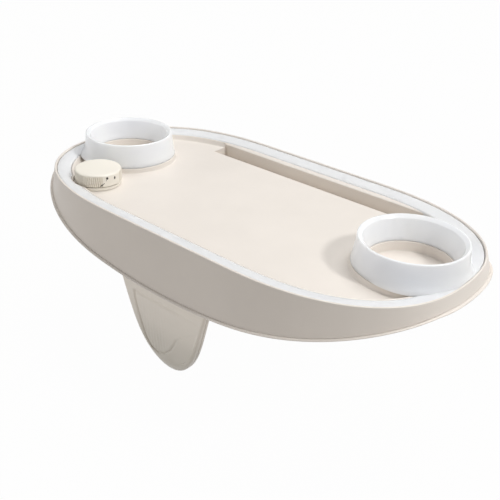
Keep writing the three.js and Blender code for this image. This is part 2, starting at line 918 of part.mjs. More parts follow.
function switchHousing() {
  const half = switchSide / 2;
  const bottom = switchTop - switchHeight;
  const box = block(knobX - half, knobX + half, knobY - half, knobY + half, bottom, switchTop);
  const terminals = [-1, 0, 1].map((k) => {
    const x = knobX + k * terminalPitch;
    return block(
      x - terminalWidth / 2,
      x + terminalWidth / 2,
      knobY - terminalThickness / 2,
      knobY + terminalThickness / 2,
      bottom - terminalLength,
      bottom + cutPast,
    );
  });
  return joined([box, post(knobX, knobY, bushRadius, bottom + cutPast, bushTop, shaftSides), ...terminals])
    .subtract(post(knobX, knobY, shaftRadius + runGap, switchTop - shaftSink, bushTop + cutPast, shaftSides));
}

function switchGasket() {
  const z0 = ceiling - seatGap - switchGasketThickness;
  const z1 = ceiling - seatGap;
  return post(knobX, knobY, switchGasketRadius, z0, z1, shaftSides)
    .subtract(post(knobX, knobY, bushRadius + seatGap, z0 - cutPast, z1 + cutPast, shaftSides));
}

function switchNut() {
  const z0 = -floorDrop + seatGap;
  return post(knobX, knobY, nutRadius, z0, z0 + nutHeight, 6)
    .subtract(post(knobX, knobY, bushRadius + seatGap, z0 - cutPast, z0 + nutHeight + cutPast, shaftSides));
}

// The shaft's upper end has a flat that the knob's hub grips
function shaftBlank(radius, flat, z0, z1) {
  const flatCut = block(
    knobX + radius - flat,
    knobX + radius + cutPast,
    knobY - radius - cutPast,
    knobY + radius + cutPast,
    hubBottom,
    z1 + cutPast,
  );
  return post(knobX, knobY, radius, z0, z1, shaftSides).subtract(flatCut);
}

function switchShaft() {
  return shaftBlank(shaftRadius, shaftFlat, switchTop - shaftSink + seatGap, shaftTop);
}

function knobBase() {
  const radius = knobRadius - baseInset;
  const z0 = -floorDrop + seatGap;
  const z1 = z0 + baseHeight;
  return turned(knobX, knobY, [
    [baseHole, z0],
    [radius, z0],
    [radius, z1 - baseInset],
    [radius - baseInset, z1],
    [baseHole, z1],
    [baseHole, z0],
  ]);
}

// Knob: ribbed grip with a plain stretch for its marks, a domed edge, and a hub inside

function knobOutline() {
  const points = [];
  for (let k = 0; k < knobRibs; k += 1) {
    const plain = k < knobPlainRibs;
    const start = (2 * Math.PI * (k - knobPlainRibs + knobPlainPast)) / knobRibs;
    for (const [share, depth] of [[0.1, 0], [0.6, knobRibDepth]]) {
      const turn = start + (2 * Math.PI * share) / knobRibs;
      const radius = knobRadius - (plain ? 0 : depth);
      const needed = !plain || share < 0.2;
      if (needed) {
        points.push(new THREE.Vector2(radius * Math.cos(turn), radius * Math.sin(turn)));
      }
    }
  }
  return new THREE.Shape(points);
}

function switchKnob() {
  const shoulder = knobCrown - knobRound;
  const depth = shoulder - knobBottom;
  const grip = new THREE.ExtrudeGeometry(knobOutline(), { depth, bevelEnabled: false });
  grip.translate(knobX, knobY, knobBottom);
  const crown = turned(knobX, knobY, [
    [0, shoulder - cutPast],
    [knobRadius - knobRibDepth, shoulder - cutPast],
    [knobRadius - knobRibDepth, shoulder],
    [knobRadius - knobRibDepth - knobRound * (1 - Math.SQRT1_2), shoulder + knobRound * Math.SQRT1_2],
    [knobRadius - knobRibDepth - knobRound, knobCrown],
    [0, knobCrown],
  ]);
  const insideRadius = knobRadius - knobRibDepth - knobWall;
  const inside = post(knobX, knobY, insideRadius, knobBottom - cutPast, knobCrown - knobWall);
  const hub = post(knobX, knobY, hubRadius, hubBottom, knobCrown - cutPast, shaftSides);
  const bore = shaftBlank(shaftRadius + turnGap, shaftFlat, hubBottom - cutPast, shaftTop + seatGap);
  return solidOf(grip).add(crown).subtract(inside).add(hub).subtract(bore);
}

// Tongue: a leaning plate of two shells with tapered sides and a round tip; the rear one carries the pad
// and the flange under the cover

function tongueReach(depth, inset) {
  const share = Math.max(0, depth) / (tongueLength - inset);
  const tip = Math.sqrt(Math.max(0, 1 - share ** tongueTipPower));
  return (tongueHalfWidth - inset) * (1 - tongueTaper * share) * tip;
}

function tongueShape(inset, topDrop) {
  const down = tongueLength - inset;
  const right = [];
  for (let k = 0; k < tongueSteps; k += 1) {
    const depth = Math.max(0, topDrop) + (down - Math.max(0, topDrop)) * Math.sin((k / tongueSteps) * (Math.PI / 2));
    right.push(new THREE.Vector2(tongueReach(depth, inset), tongueTop - depth));
  }
  if (topDrop < 0) {
    right.unshift(new THREE.Vector2(right[0].x, tongueTop - topDrop));
  }
  const left = right.map((point) => new THREE.Vector2(-point.x, point.y)).reverse();
  return new THREE.Shape([...right, new THREE.Vector2(0, tongueTop - down), ...left]);
}

// Everything behind the leaning front face, set back by a depth square to it
function behindFront(setback) {
  const deep = tongueLength * 3;
  const geometry = new THREE.BoxGeometry(tongueHalfWidth * 4, deep, deep);
  geometry.translate(0, deep / 2 + setback, 0);
  geometry.rotateX(tongueTilt);
  geometry.translate(0, tongueFrontY, tongueTop);
  return solidOf(geometry);
}

// The part of the tongue's outline that lies between two depths behind the front face
function tongueLayer(inset, topDrop, from, to) {
  return slab(tongueShape(inset, topDrop), tongueFrontY - cutOver, padY + cutOver)
    .intersect(behindFront(from))
    .subtract(behindFront(to));
}

// Where a line along Y meets the plane at a depth behind the front face
function planeY(z, depth) {
  return tongueFrontY + (tongueTop - z) * Math.tan(tongueTilt) + depth / Math.cos(tongueTilt);
}

const tongueScrewX = tongueHalfWidth - tongueScrew.head - tongueScrewEdge;
const tongueScrewPlaces = [
  [-tongueScrewX, tongueTop - tongueScrewTopDrop],
  [tongueScrewX, tongueTop - tongueScrewTopDrop],
  [0, tongueTop - tongueLength + tongueScrewTipRise],
];

// Rear face of a tongue screw's head, sunk in the rear shell
function tongueHeadY(z) {
  return planeY(z, tongueThickness) - tongueHeadSink;
}

// A round pin along Y
function crossPin(x, z, radius, y0, y1, sides = smallSides) {
  const geometry = new THREE.CylinderGeometry(radius, radius, y1 - y0, sides);
  geometry.translate(x, (y0 + y1) / 2, z);
  return solidOf(geometry);
}

function tongueFront() {
  const whole = tongueLayer(0, -cutOver, 0, tongueFrontDepth).intersect(belowBelly(seatGap));
  const hollow = tongueLayer(tongueWall, tongueFrontRoof, tongueFrontWall, tongueFrontDepth + cutPast);
  const panel = tongueLayer(panelMargin, panelTopDrop, -cutPast, panelDepth);
  const bosses = tongueScrewPlaces.map(([x, z]) => {
    return crossPin(x, z, tongueScrew.shank + bossWall, tongueFrontY, padY);
  });
  const pilots = tongueScrewPlaces.map(([x, z]) => {
    const tip = tongueHeadY(z) - tongueScrew.length - tipRoom;
    return crossPin(x, z, tongueScrew.shank + turnGap, tip, padY, screwSides);
  });
  const filled = tongueLayer(tongueWall, tongueFrontRoof, tongueWall, tongueFrontDepth);
  return whole.subtract(hollow)
    .add(joined(bosses).intersect(filled))
    .subtract(panel)
    .subtract(joined(pilots));
}

function tongueBack() {
  const whole = tongueLayer(0, -cutOver, tongueSeam, tongueThickness).intersect(belowBelly(seatGap));
  const hollow = tongueLayer(tongueWall, tongueBackRoof, tongueSeam - cutPast, tongueThickness - tongueWall);
  const bosses = tongueScrewPlaces.map(([x, z]) => {
    return crossPin(x, z, tongueScrew.head + bossWall / 2, tongueFrontY, padY);
  });
  const recesses = tongueScrewPlaces.map(([x, z]) => {
    const seat = tongueHeadY(z) - tongueScrew.headHeight - seatGap;
    return crossPin(x, z, tongueScrew.head + slideGap, seat, padY);
  });
  const holes = tongueScrewPlaces.map(([x, z]) => {
    return crossPin(x, z, tongueScrew.shank + slideGap, tongueFrontY, padY, screwSides);
  });
  const inRear = behindFront(tongueThickness - tongueWall / 2);
  const pad = slab(tongueShape(padInset, padTopDrop), tongueFrontY, padY).intersect(inRear);
  const reach = padY + bracketReach;
  const flange = block(-bracketHalfWidth, bracketHalfWidth, tongueFrontY, reach, flangeLow, 0)
    .intersect(belowBelly(seatGap))
    .intersect(inRear);
  const headHoles = bracketScrewPlaces.map(([x, y]) => {
    const seat = flangeLow + bracketScrew.headHeight + seatGap;
    return post(x, y, bracketScrew.head + slideGap, flangeLow - cutPast, seat, smallSides);
  });
  const shankHoles = bracketScrewPlaces.map(([x, y]) => {
    return post(x, y, bracketScrew.shank + slideGap, flangeLow - cutPast, 0, screwSides);
  });
  return whole.subtract(hollow)
    .add(joined(bosses).intersect(whole))
    .add(pad)
    .add(flange)
    .subtract(joined([...recesses, ...holes, ...headHoles, ...shankHoles]));
}

// A screw standing on its head, head downwards at the origin, shank along +Z
function screwGeometry(size) {
  const profile = [
    [0, 0],
    [size.head, 0],
    [size.head, size.headHeight],
    [size.shank, size.headHeight],
    [size.shank, size.length],
    [0, size.length],
  ];
  const points = profile.map(([radius, height]) => new THREE.Vector2(radius, height));
  const geometry = new THREE.LatheGeometry(points, screwSides);
  geometry.rotateX(Math.PI / 2);
  return geometryOf(solidOf(geometry));
}

// A lead along a smooth curve through hand-chosen points
function lead(points) {
  const curve = new THREE.CatmullRomCurve3(points.map((point) => new THREE.Vector3(...point)));
  const section = new THREE.Shape();
  for (let k = 0; k < leadSides; k += 1) {
    const turn = (2 * Math.PI * k) / leadSides;
    const x = leadRadius * Math.cos(turn);
    const y = leadRadius * Math.sin(turn);
    if (k === 0) {
      section.moveTo(x, y);
    } else {
      section.lineTo(x, y);
    }
  }
  const settings = { steps: leadSteps, extrudePath: curve, bevelEnabled: false };
  return solidOf(new THREE.ExtrudeGeometry(section, settings));
}

const leadZ = boardTop + socketHeight / 2;
const boardRight = boardX + boardLength / 2 + seatGap;
const boardLeft = boardX - boardLength / 2 - seatGap;
const boardFront = boardY - boardWidth / 2 - seatGap;
const boxLeft = -boxHalfX - boxWall - seatGap;
const switchFoot = switchTop - switchHeight - seatGap;

function batteryLead() {
  const z = boxRoof - leadRadius - slideGap;
  return lead([
    [boxLeft, cellY(1), z],
    [boxLeft - leadStraight, cellY(1), z],
    [(boxLeft + boardRight) / 2, (cellY(1) + boardY) / 2, z],
    [boardRight + leadStraight, boardY, leadZ],
    [boardRight, boardY, leadZ],
  ]);
}

function switchLead() {
  const y = knobY + switchSide / 4;
  return lead([
    [knobX, y, switchFoot],
    [knobX, y, switchFoot - leadStraight],
    [(knobX + boardLeft) / 2, (y + boardY) / 2, leadZ],
    [boardLeft - leadStraight, boardY, leadZ],
    [boardLeft, boardY, leadZ],
  ]);
}

function stripLead() {
  return lead([
    [boardX, boardFront, leadZ],
    [boardX, boardFront - leadStraight, leadZ],
    [boardX, (boardFront + stripLeadY) / 2, leadZ + leadBend],
    [boardX, stripLeadY + leadBend, ceiling - leadRise],
    [boardX, stripLeadY, ceiling - leadBend],
    [boardX, stripLeadY, -channelDepth],
  ]);
}

// Finishes

function finish(color, roughness, metalness = 0) {
  return new THREE.MeshStandardMaterial({ color, roughness, metalness });
}

const beige = () => finish(0xefe8df, 0.45);
const cream = () => finish(0xf3ecdc, 0.5);
const frosted = () => finish(0xeaebf0, 0.3);
const steel = () => finish(0xb9bcc0, 0.35, 1);
const darkPlastic = () => finish(0x2c2d30, 0.5);
const rubber = () => finish(0x3a3a3c, 0.8);
const circuit = () => finish(0x2f6b46, 0.5);
const wrap = () => finish(0x3d566e, 0.4);

const parts = [
  ['tray_body', trayBody(), beige()],
  ['bottom_cover', bottomCover(), beige()],
  ['light_diffuser', lightDiffuser(), frosted()],
  ['led_strip', ledStrip(), finish(0xf6f3d8, 0.4)],
  ['led_driver_board', driverBoard(), circuit()],
  ['switch_housing', switchHousing(), darkPlastic()],
  ['switch_gasket', switchGasket(), rubber()],
  ['switch_nut', switchNut(), steel()],
  ['switch_shaft', switchShaft(), steel()],
  ['knob_base', knobBase(), cream()],
  ['switch_knob', switchKnob(), cream()],
  ['battery_box', batteryBox(), darkPlastic()],
  ['battery_contact_plus', contact(-1, [0]), steel()],
  ['battery_contact_bridge_right', contact(1, [0, 1]), steel()],
  ['battery_contact_bridge_left', contact(-1, [1, 2]), steel()],
  ['battery_contact_minus', contact(1, [2]), steel()],
  ['battery_door', batteryDoor(), beige()],
  ['door_gasket', doorGasket(), rubber()],
  ['tongue_front', tongueFront(), beige()],
  ['tongue_back', tongueBack(), beige()],
  ['battery_lead', batteryLead(), rubber()],
  ['switch_lead', switchLead(), rubber()],
  ['strip_lead', stripLead(), rubber()],
];
for (let k = 0; k < cellCount; k += 1) {
  parts.push([`battery_cell_${k + 1}`, batteryCell(k), wrap()]);
}

const tray = new THREE.Group();
for (const [name, solid, material] of parts) {
  const mesh = new THREE.Mesh(geometryOf(solid), material);
  mesh.name = name;
  tray.add(mesh);
}

// Screws are placed as copies of one shape; the tongue's lie along Y with their heads at the rear

function addScrews(prefix, size, places, turn) {
  places.forEach(([x, y, z], k) => {
    const mesh = new THREE.Mesh(screwGeometry(size), steel());
    mesh.name = `${prefix}_${k + 1}`;
    mesh.position.set(x, y, z);
    mesh.rotation.x = turn;
    tray.add(mesh);
  });
}

addScrews('cover_screw', coverScrew, coverScrewPlaces.map(([x, y]) => [x, y, bellyZ(x) + headRecess]), 0);
addScrews('bracket_screw', bracketScrew, bracketScrewPlaces.map(([x, y]) => [x, y, flangeLow]), 0);
addScrews('door_screw', doorScrew, doorScrewPlaces.map(([x, y]) => {
  return [x, y, doorHeadTop(x) - doorScrew.headHeight - seatGap];
}), 0);
addScrews('board_screw', boardScrew, boardScrewPlaces.map(([x, y]) => {
  return [x, y, boardTop + seatGap + boardScrew.headHeight];
}), Math.PI);
addScrews('tongue_screw', tongueScrew, tongueScrewPlaces.map(([x, z]) => [x, tongueHeadY(z), z]), Math.PI / 2);

const part = new THREE.Group();
tray.position.set(0, -padY, -padZ);
part.add(tray);

export default part;
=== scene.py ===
import math
from functools import partial

import bmesh
import bpy
import numpy as np
from mathutils import Matrix, Vector


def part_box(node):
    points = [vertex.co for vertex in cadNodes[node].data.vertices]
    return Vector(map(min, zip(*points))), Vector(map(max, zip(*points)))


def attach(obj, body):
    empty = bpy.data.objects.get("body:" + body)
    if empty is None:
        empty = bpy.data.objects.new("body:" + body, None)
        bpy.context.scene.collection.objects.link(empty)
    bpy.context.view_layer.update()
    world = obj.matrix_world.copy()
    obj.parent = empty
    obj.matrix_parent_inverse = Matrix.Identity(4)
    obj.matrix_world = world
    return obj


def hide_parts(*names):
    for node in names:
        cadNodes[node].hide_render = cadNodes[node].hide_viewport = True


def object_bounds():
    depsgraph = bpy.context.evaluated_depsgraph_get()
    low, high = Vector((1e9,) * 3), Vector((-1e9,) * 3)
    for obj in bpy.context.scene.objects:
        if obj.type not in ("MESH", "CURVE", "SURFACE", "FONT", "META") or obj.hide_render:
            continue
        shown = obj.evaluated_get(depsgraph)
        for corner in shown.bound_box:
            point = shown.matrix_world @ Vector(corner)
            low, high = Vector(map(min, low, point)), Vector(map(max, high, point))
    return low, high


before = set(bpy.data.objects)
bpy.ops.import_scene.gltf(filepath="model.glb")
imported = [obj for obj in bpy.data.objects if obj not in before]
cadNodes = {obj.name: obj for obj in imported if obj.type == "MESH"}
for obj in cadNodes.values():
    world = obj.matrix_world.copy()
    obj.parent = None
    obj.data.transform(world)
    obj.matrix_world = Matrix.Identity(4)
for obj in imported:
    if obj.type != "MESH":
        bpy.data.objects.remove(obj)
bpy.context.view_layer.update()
print("frame loaded,", len(cadNodes), "nodes")

# Shapes are drawn in millimetres from the top of the lip, then moved to the frame's origin on the tongue pad
rimToRow = np.array([0.0, 108.0, 106.1])
rim = dict(halfLength=240.0, halfWidth=124.2, flatHalf=74.0, power=2.42, quarterSteps=60,
           arcSamples=3000, flatSamples=400)
belly = dict(endDepth=13.2, drop=46.4, power=1.06, flare=3.8, flange=2.8, cover=1.5, gap=0.3)
cup = dict(x=184.15, wellRadius=38.5, wellFloor=-13.0, wellWall=2.0, collarTop=-4.5, potTop=-2.9)
slab = dict(halfLength=260.0, halfWidth=160.0, steps=131)
potRadius = cup["wellRadius"] + cup["wellWall"]
floorLevel = -9.6
ceilingLevel = -12.4
ribLevel = -4.2
channelFloor = -8.5
knobReach, knobTurn = 81.0, math.radians(64.6)  # from the middle of the left cup
knobPlace = (knobReach * math.cos(knobTurn) - cup["x"], -knobReach * math.sin(knobTurn))
bothSides = (-1, 1)
aside = 40.0  # how far cutters run past what they cut
deep = -80.0  # below the belly
overlap = 0.5  # how far joined forms reach into each other
hair = 0.02  # keeps two faces out of one plane
sliver = 2e-6  # metres; anything narrower is closed up
roundSides = 112  # facets of a round form that shows


def toRow(points):
    return (np.asarray(points, float) + rimToRow) / 1000


def cupPlace(side):
    return side * cup["x"], 0


def bellyZ(x):
    share = np.clip(np.abs(x) / rim["halfLength"], 0, 1)
    return -belly["endDepth"] - belly["drop"] * (1 - share ** 2) ** belly["power"]


def aboveBelly(lift):
    return lambda x: bellyZ(x) + lift


def rimSamples():
    # one quarter at even steps along its length, then mirrored, so sample k faces sample n - k
    turn = np.linspace(0, math.pi / 2, rim["arcSamples"])
    curved = rim["halfLength"] - rim["flatHalf"]
    flat = np.linspace(rim["flatHalf"], 0, rim["flatSamples"])[1:]
    x = np.append(rim["flatHalf"] + curved * np.clip(np.cos(turn), 0, 1) ** (2 / rim["power"]), flat)
    y = rim["halfWidth"] * np.sin(turn) ** (2 / rim["power"])
    y = np.append(y, np.full_like(flat, rim["halfWidth"]))
    along = np.append(0, np.cumsum(np.hypot(np.diff(x), np.diff(y))))
    even = np.linspace(0, along[-1], rim["quarterSteps"] + 1)
    x, y = np.interp(even, along, x), np.interp(even, along, y)
    x, y = np.concatenate([x, -x[-2::-1]]), np.concatenate([y, y[-2::-1]])
    x, y = np.concatenate([x, x[-2:0:-1]]), np.concatenate([y, -y[-2:0:-1]])
    u = np.clip(np.abs(x) - rim["flatHalf"], 0, None) / curved
    v = np.abs(y) / rim["halfWidth"]
    nx = np.sign(x) * u ** (rim["power"] - 1) / curved
    ny = np.sign(y) * v ** (rim["power"] - 1) / rim["halfWidth"]
    size = np.hypot(nx, ny)
    return x, y, nx / size, ny / size


rimX, rimY, rimNx, rimNy = rimSamples()


def rimRing(reach, height):
    # a loop round the tray; reach is outwards, height a level or a rule in x
    x = rimX + reach * rimNx
    y = rimY + reach * rimNy
    z = height(x) if callable(height) else np.full_like(x, height)
    return np.stack([x, y, z], 1)


def arc(cx, cy, radius, start, end, steps=5):
    turns = np.radians(np.linspace(start, end, steps + 1))
    return [(cx + radius * math.cos(t), cy + radius * math.sin(t)) for t in turns]


def inwards(points):
    # a profile measured in from the lip, as reaches
    return [(-x, z) for x, z in points]


def circle(sides):
    return np.linspace(0, 2 * math.pi, sides, endpoint=False)


def quarterTurn(count):
    return np.radians(np.linspace(0, 90, count))


def oval(x, y, halfX, halfY, sides):
    return [(x + halfX * math.cos(t), y + halfY * math.sin(t)) for t in circle(sides)]


def roundedBox(halfX, halfY, corner):
    points = []
    for quarter, (sx, sy) in enumerate([(1, 1), (-1, 1), (-1, -1), (1, -1)]):
        centre = (sx * (halfX - corner), sy * (halfY - corner))
        points += arc(*centre, corner, quarter * 90, quarter * 90 + 90, 6)
    return points


def smoothStep(value):
    t = np.clip(value, 0, 1)
    return t * t * (3 - 2 * t)


def ease(value, start, run):
    # a soft step up from start, or up towards it where run is negative
    return smoothStep((value - start) / run)


def linked(name, data):
    piece = bpy.data.objects.new(name, data)
    bpy.context.scene.collection.objects.link(piece)
    return piece


def meshObject(name, points, edges, faces):
    mesh = bpy.data.meshes.new(name)
    mesh.from_pydata([tuple(p) for p in points], edges, faces)
    return linked(name, mesh)


def tightened(piece, near, thin=None):
    # points that meet become one and the faces turn outwards
    work = bmesh.new()
    work.from_mesh(piece.data)
    bmesh.ops.remove_doubles(work, verts=work.verts, dist=near)
    if thin:
        bmesh.ops.dissolve_degenerate(work, edges=work.edges, dist=thin)
    bmesh.ops.recalc_face_normals(work, faces=work.faces)
    work.to_mesh(piece.data)
    work.free()
    return piece


def solid(name, points, faces):
    return tightened(meshObject(name, toRow(points), [], faces), near=1e-6, thin=1e-7)


def quads(count, levels, closed=False):
    # the faces between rings of points that follow one another
    faces = []
    for level in range(levels if closed else levels - 1):
        low, high = level * count, (level + 1) % levels * count
        for k in range(count):
            after = (k + 1) % count
            faces.append((low + k, low + after, high + after, high + k))
    return faces


def capped(count, levels):
    last = (levels - 1) * count
    return [tuple(range(count)), tuple(range(last, last + count))] + quads(count, levels)


def loft(name, rings, closed=False):
    count = len(rings[0])
    faces = quads(count, len(rings), closed)
    if not closed:
        for start in (0, (len(rings) - 1) * count):
            for k in range(count // 2):
                far = (count - k) % count
                faces.append((start + k, start + k + 1, start + count - k - 1, start + far))
    return solid(name, np.concatenate(rings), faces)


def rimLoft(name, profile, closed=False):
    return loft(name, [rimRing(reach, height) for reach, height in profile], closed)


def ringAt(centre, radius, z, turns):
    x, y = centre[0] + radius * np.cos(turns), centre[1] + radius * np.sin(turns)
    return np.stack([x, y, np.full(len(turns), z)], 1)


def turned(name, centre, profile, sides=roundSides):
    rings = [ringAt(centre, radius, z, circle(sides)) for radius, z in profile]
    return solid(name, np.concatenate(rings), quads(sides, len(rings), profile[0][0] > 0))


def post(spot, radius, low, high, sides=40):
    return turned("post", spot, [(0, low), (radius, low), (radius, high), (0, high)], sides)


def prism(name, outline, axis, low, high):
    # outline is in the two other axes, in X, Y, Z order
    flat = np.asarray(outline, float)
    ends = [np.insert(flat, "XYZ".index(axis), level, axis=1) for level in (low, high)]
    return solid(name, np.concatenate(ends), capped(len(flat), 2))


def bellySlab(lift, farZ):
    # everything between the belly, raised by lift, and a far level
    half = slab["halfLength"]
    edge = [(at, bellyZ(at) + lift) for at in np.linspace(-half, half, slab["steps"])]
    edge += [(half, farZ), (-half, farZ)]
    return prism("slab", edge, "Y", -slab["halfWidth"], slab["halfWidth"])


def evaluated(piece):
    graph = bpy.context.evaluated_depsgraph_get()
    made = piece.evaluated_get(graph)
    mesh = bpy.data.meshes.new_from_object(made, preserve_all_data_layers=True, depsgraph=graph)
    piece.modifiers.clear()
    old = piece.data
    piece.data = mesh
    mesh.name = piece.name
    bpy.data.meshes.remove(old)
    return piece


def carve(piece, others, how="DIFFERENCE"):
    for other in others:
        change = piece.modifiers.new(how.lower(), "BOOLEAN")
        change.object = other
        change.operation = how
        change.solver = "MANIFOLD"
        evaluated(piece)
        bpy.data.objects.remove(other)
    return piece


def cleaned(piece):
    # slivers that a cut leaves are closed up and loose edges go, unless that would open the skin
    work = bmesh.new()
    work.from_mesh(piece.data)
    bmesh.ops.triangulate(work, faces=[face for face in work.faces if len(face.verts) > 4])
    bmesh.ops.remove_doubles(work, verts=work.verts, dist=sliver)
    bmesh.ops.dissolve_degenerate(work, edges=work.edges, dist=sliver)
    loose = [edge for edge in work.edges if not edge.link_faces]
    bmesh.ops.delete(work, geom=loose, context="EDGES")
    whole = all(edge.is_manifold for edge in work.edges)
    print("cleaned" if whole else "left as cut:", piece.name)
    if whole:
        work.to_mesh(piece.data)
    work.free()
    return piece


def smooth(piece, angle=32):
    # soft shading that flat faces win, with edges kept where the surface turns sharply
    mesh = cleaned(piece).data
    mesh.polygons.foreach_set("use_smooth", [True] * len(mesh.polygons))
    mesh.set_sharp_from_angle(angle=math.radians(angle))
    weighted = piece.modifiers.new("weighted", "WEIGHTED_NORMAL")
    weighted.keep_sharp = True
    return evaluated(piece)


def dress(piece, material, slotName, body, *replaced):
    piece.data.materials.clear()
    piece.data.materials.append(material)
    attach(piece, body)
    if replaced:
        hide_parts(*replaced)
    print("piece", piece.name, len(piece.data.polygons), "faces")
    return piece


# Node trees, for finishes and for shapes

def feed(tree, made, inputs):
    # inputs are values, or the outputs that feed them
    for label, value in inputs.items():
        if isinstance(value, bpy.types.NodeSocket):
            tree.links.new(value, made.inputs[label])
        else:
            made.inputs[label].default_value = value
    return made


def addNode(tree, kind, inputs=None, **settings):
    made = tree.nodes.new(kind)
    for label, value in settings.items():
        setattr(made, label, value)
    return feed(tree, made, inputs or {})


def maths(tree, operation, *values):
    return addNode(tree, "ShaderNodeMath", dict(enumerate(values)), operation=operation).outputs[0]


def nodeSet(name):
    material = bpy.data.materials.new(name)
    material.use_nodes = True
    tree = material.node_tree
    return material, tree, tree.nodes["Principled BSDF"]


def objectPlace(tree):
    place = tree.nodes.get("Texture Coordinate") or tree.nodes.new("ShaderNodeTexCoord")
    return place.outputs["Object"]


def placeAlong(tree, axis):
    return addNode(tree, "ShaderNodeSeparateXYZ", {"Vector": objectPlace(tree)}).outputs[axis]


def noise(tree, scale, detail=3.0, roughness=0.5, stretch=None):
    place = objectPlace(tree)
    if stretch:
        place = addNode(tree, "ShaderNodeMapping", {"Vector": place, "Scale": stretch}).outputs["Vector"]
    inputs = {"Vector": place, "Scale": scale, "Detail": detail, "Roughness": roughness}
    return addNode(tree, "ShaderNodeTexNoise", inputs).outputs["Fac"]


def ramp(tree, value, stops):
    made = addNode(tree, "ShaderNodeValToRGB", {"Fac": value})
    elements = made.color_ramp.elements
    while len(elements) < len(stops):
        elements.new(0.5)
    for element, (at, colour) in zip(elements, stops):
        element.position = at
        element.color = (*colour, 1)
    return made.outputs["Color"]


def shades(colour, *stops):
    # one colour, darker or lighter by a share at each stop
    return [(at, tuple(min(1.0, channel * share) for channel in colour)) for at, share in stops]


def spread(tree, value, low, high, fromLow=0.3, fromHigh=0.7):
    inputs = {"Value": value, "From Min": fromLow, "From Max": fromHigh, "To Min": low, "To Max": high}
    return addNode(tree, "ShaderNodeMapRange", inputs).outputs["Result"]


def bump(tree, shader, value, height, strength, under=None):
    inputs = {"Height": value, "Distance": height, "Strength": strength}
    if under:
        inputs["Normal"] = under
    normal = addNode(tree, "ShaderNodeBump", inputs).outputs["Normal"]
    feed(tree, shader, {"Normal": normal})
    return normal


def mouldedPlastic(name, colour, roughness, mottling=0.02, grain=2600.0, grainHeight=0.00003):
    # satin moulding: faint flow mottling, fine spark-eroded grain, patchy sheen
    material, tree, shader = nodeSet(name)
    stops = shades(colour, (0.3, 1 - mottling), (0.52, 1), (0.75, 1 + mottling))
    patches = noise(tree, 60.0, 3.0, 0.6)
    feed(tree, shader, {"Base Color": ramp(tree, noise(tree, 14.0, 4.0, 0.6), stops),
                        "Roughness": spread(tree, patches, roughness - 0.05, roughness + 0.07)})
    wave = bump(tree, shader, noise(tree, 9.0, 2.0), 0.0004, 0.25)
    bump(tree, shader, noise(tree, grain, 2.0, 0.7), grainHeight, 0.5, wave)
    return material


def tonguePaintedShadePlastic(name, colour):
    # the same moulding with a polished skin, with painted shade that darkens it towards the tip by height
    material = mouldedPlastic(name, colour, 0.4)
    tree = material.node_tree
    shader = tree.nodes["Principled BSDF"]
    mottled = shader.inputs["Base Color"].links[0].from_socket
    # painted shade: a ramp on the height multiplies the colour, darkest at the tip, full colour at the top
    height = spread(tree, placeAlong(tree, "Z"), 0.0, 1.0, -0.045, 0.03)
    depth = ramp(tree, height, [(0.0, (0.64, 0.64, 0.61)), (0.45, (0.77, 0.77, 0.755)),
                                (0.7, (0.92, 0.92, 0.915)), (1.0, (1.0, 1.0, 1.0))])
    mix = addNode(tree, "ShaderNodeMix", {"Factor": 1.0}, data_type="RGBA", blend_type="MULTIPLY")
    colours = [socket for socket in mix.inputs if socket.type == "RGBA"]
    for source, socket in zip((mottled, depth), colours):
        tree.links.new(source, socket)
    result = next(socket for socket in mix.outputs if socket.type == "RGBA")
    feed(tree, shader, {"Base Color": result, "Coat Weight": 0.5, "Coat Roughness": 0.3})
    return material


def frostedPlastic(name, colour, roughness):
    # milky diffuser: cloudy tint, light soaking in below the skin, blasted surface
    material, tree, shader = nodeSet(name)
    stops = shades(colour, (0.32, 0.97), (0.55, 1), (0.75, 1.02))
    patches = noise(tree, 90.0, 3.0)
    feed(tree, shader, {"Base Color": ramp(tree, noise(tree, 22.0, 4.0, 0.55), stops),
                        "Roughness": spread(tree, patches, roughness - 0.05, roughness + 0.06),
                        "Subsurface Weight": 1.0, "Subsurface Radius": (1.0, 1.0, 1.0), "Subsurface Scale": 0.005})
    bump(tree, shader, noise(tree, 900.0, 2.0, 0.6), 0.00001, 0.3)
    return material


def brightSteel(name):
    material, tree, shader = nodeSet(name)
    drawn = noise(tree, 900.0, 3.0, 0.6, (1.0, 1.0, 0.08))
    stops = [(0.25, (0.5, 0.51, 0.52)), (0.55, (0.66, 0.67, 0.69)), (0.8, (0.76, 0.77, 0.78))]
    feed(tree, shader, {"Base Color": ramp(tree, drawn, stops), "Roughness": spread(tree, drawn, 0.3, 0.44),
                        "Metallic": 1.0})
    bump(tree, shader, drawn, 0.00002, 0.4)
    return material


def softRubber(name, colour):
    material, tree, shader = nodeSet(name)
    bloom = noise(tree, 160.0, 4.0, 0.65)
    stops = shades(colour, (0.3, 0.75), (0.6, 1), (0.85, 1.5))
    feed(tree, shader, {"Base Color": ramp(tree, bloom, stops), "Roughness": spread(tree, bloom, 0.62, 0.86)})
    bump(tree, shader, noise(tree, 2200.0, 2.0), 0.00003, 0.5)
    return material


def circuitBoard(name):
    # green lacquer over copper tracks
    material, tree, shader = nodeSet(name)
    tracks = addNode(tree, "ShaderNodeTexBrick", {
        "Vector": objectPlace(tree), "Scale": 240.0, "Mortar Size": 0.06, "Color1": (0.012, 0.085, 0.035, 1),
        "Color2": (0.016, 0.11, 0.045, 1), "Mortar": (0.05, 0.2, 0.07, 1)}).outputs
    lacquer = noise(tree, 300.0, 3.0)
    feed(tree, shader, {"Base Color": tracks["Color"], "Roughness": spread(tree, lacquer, 0.3, 0.44)})
    bump(tree, shader, tracks["Fac"], 0.00003, 0.5)
    return material


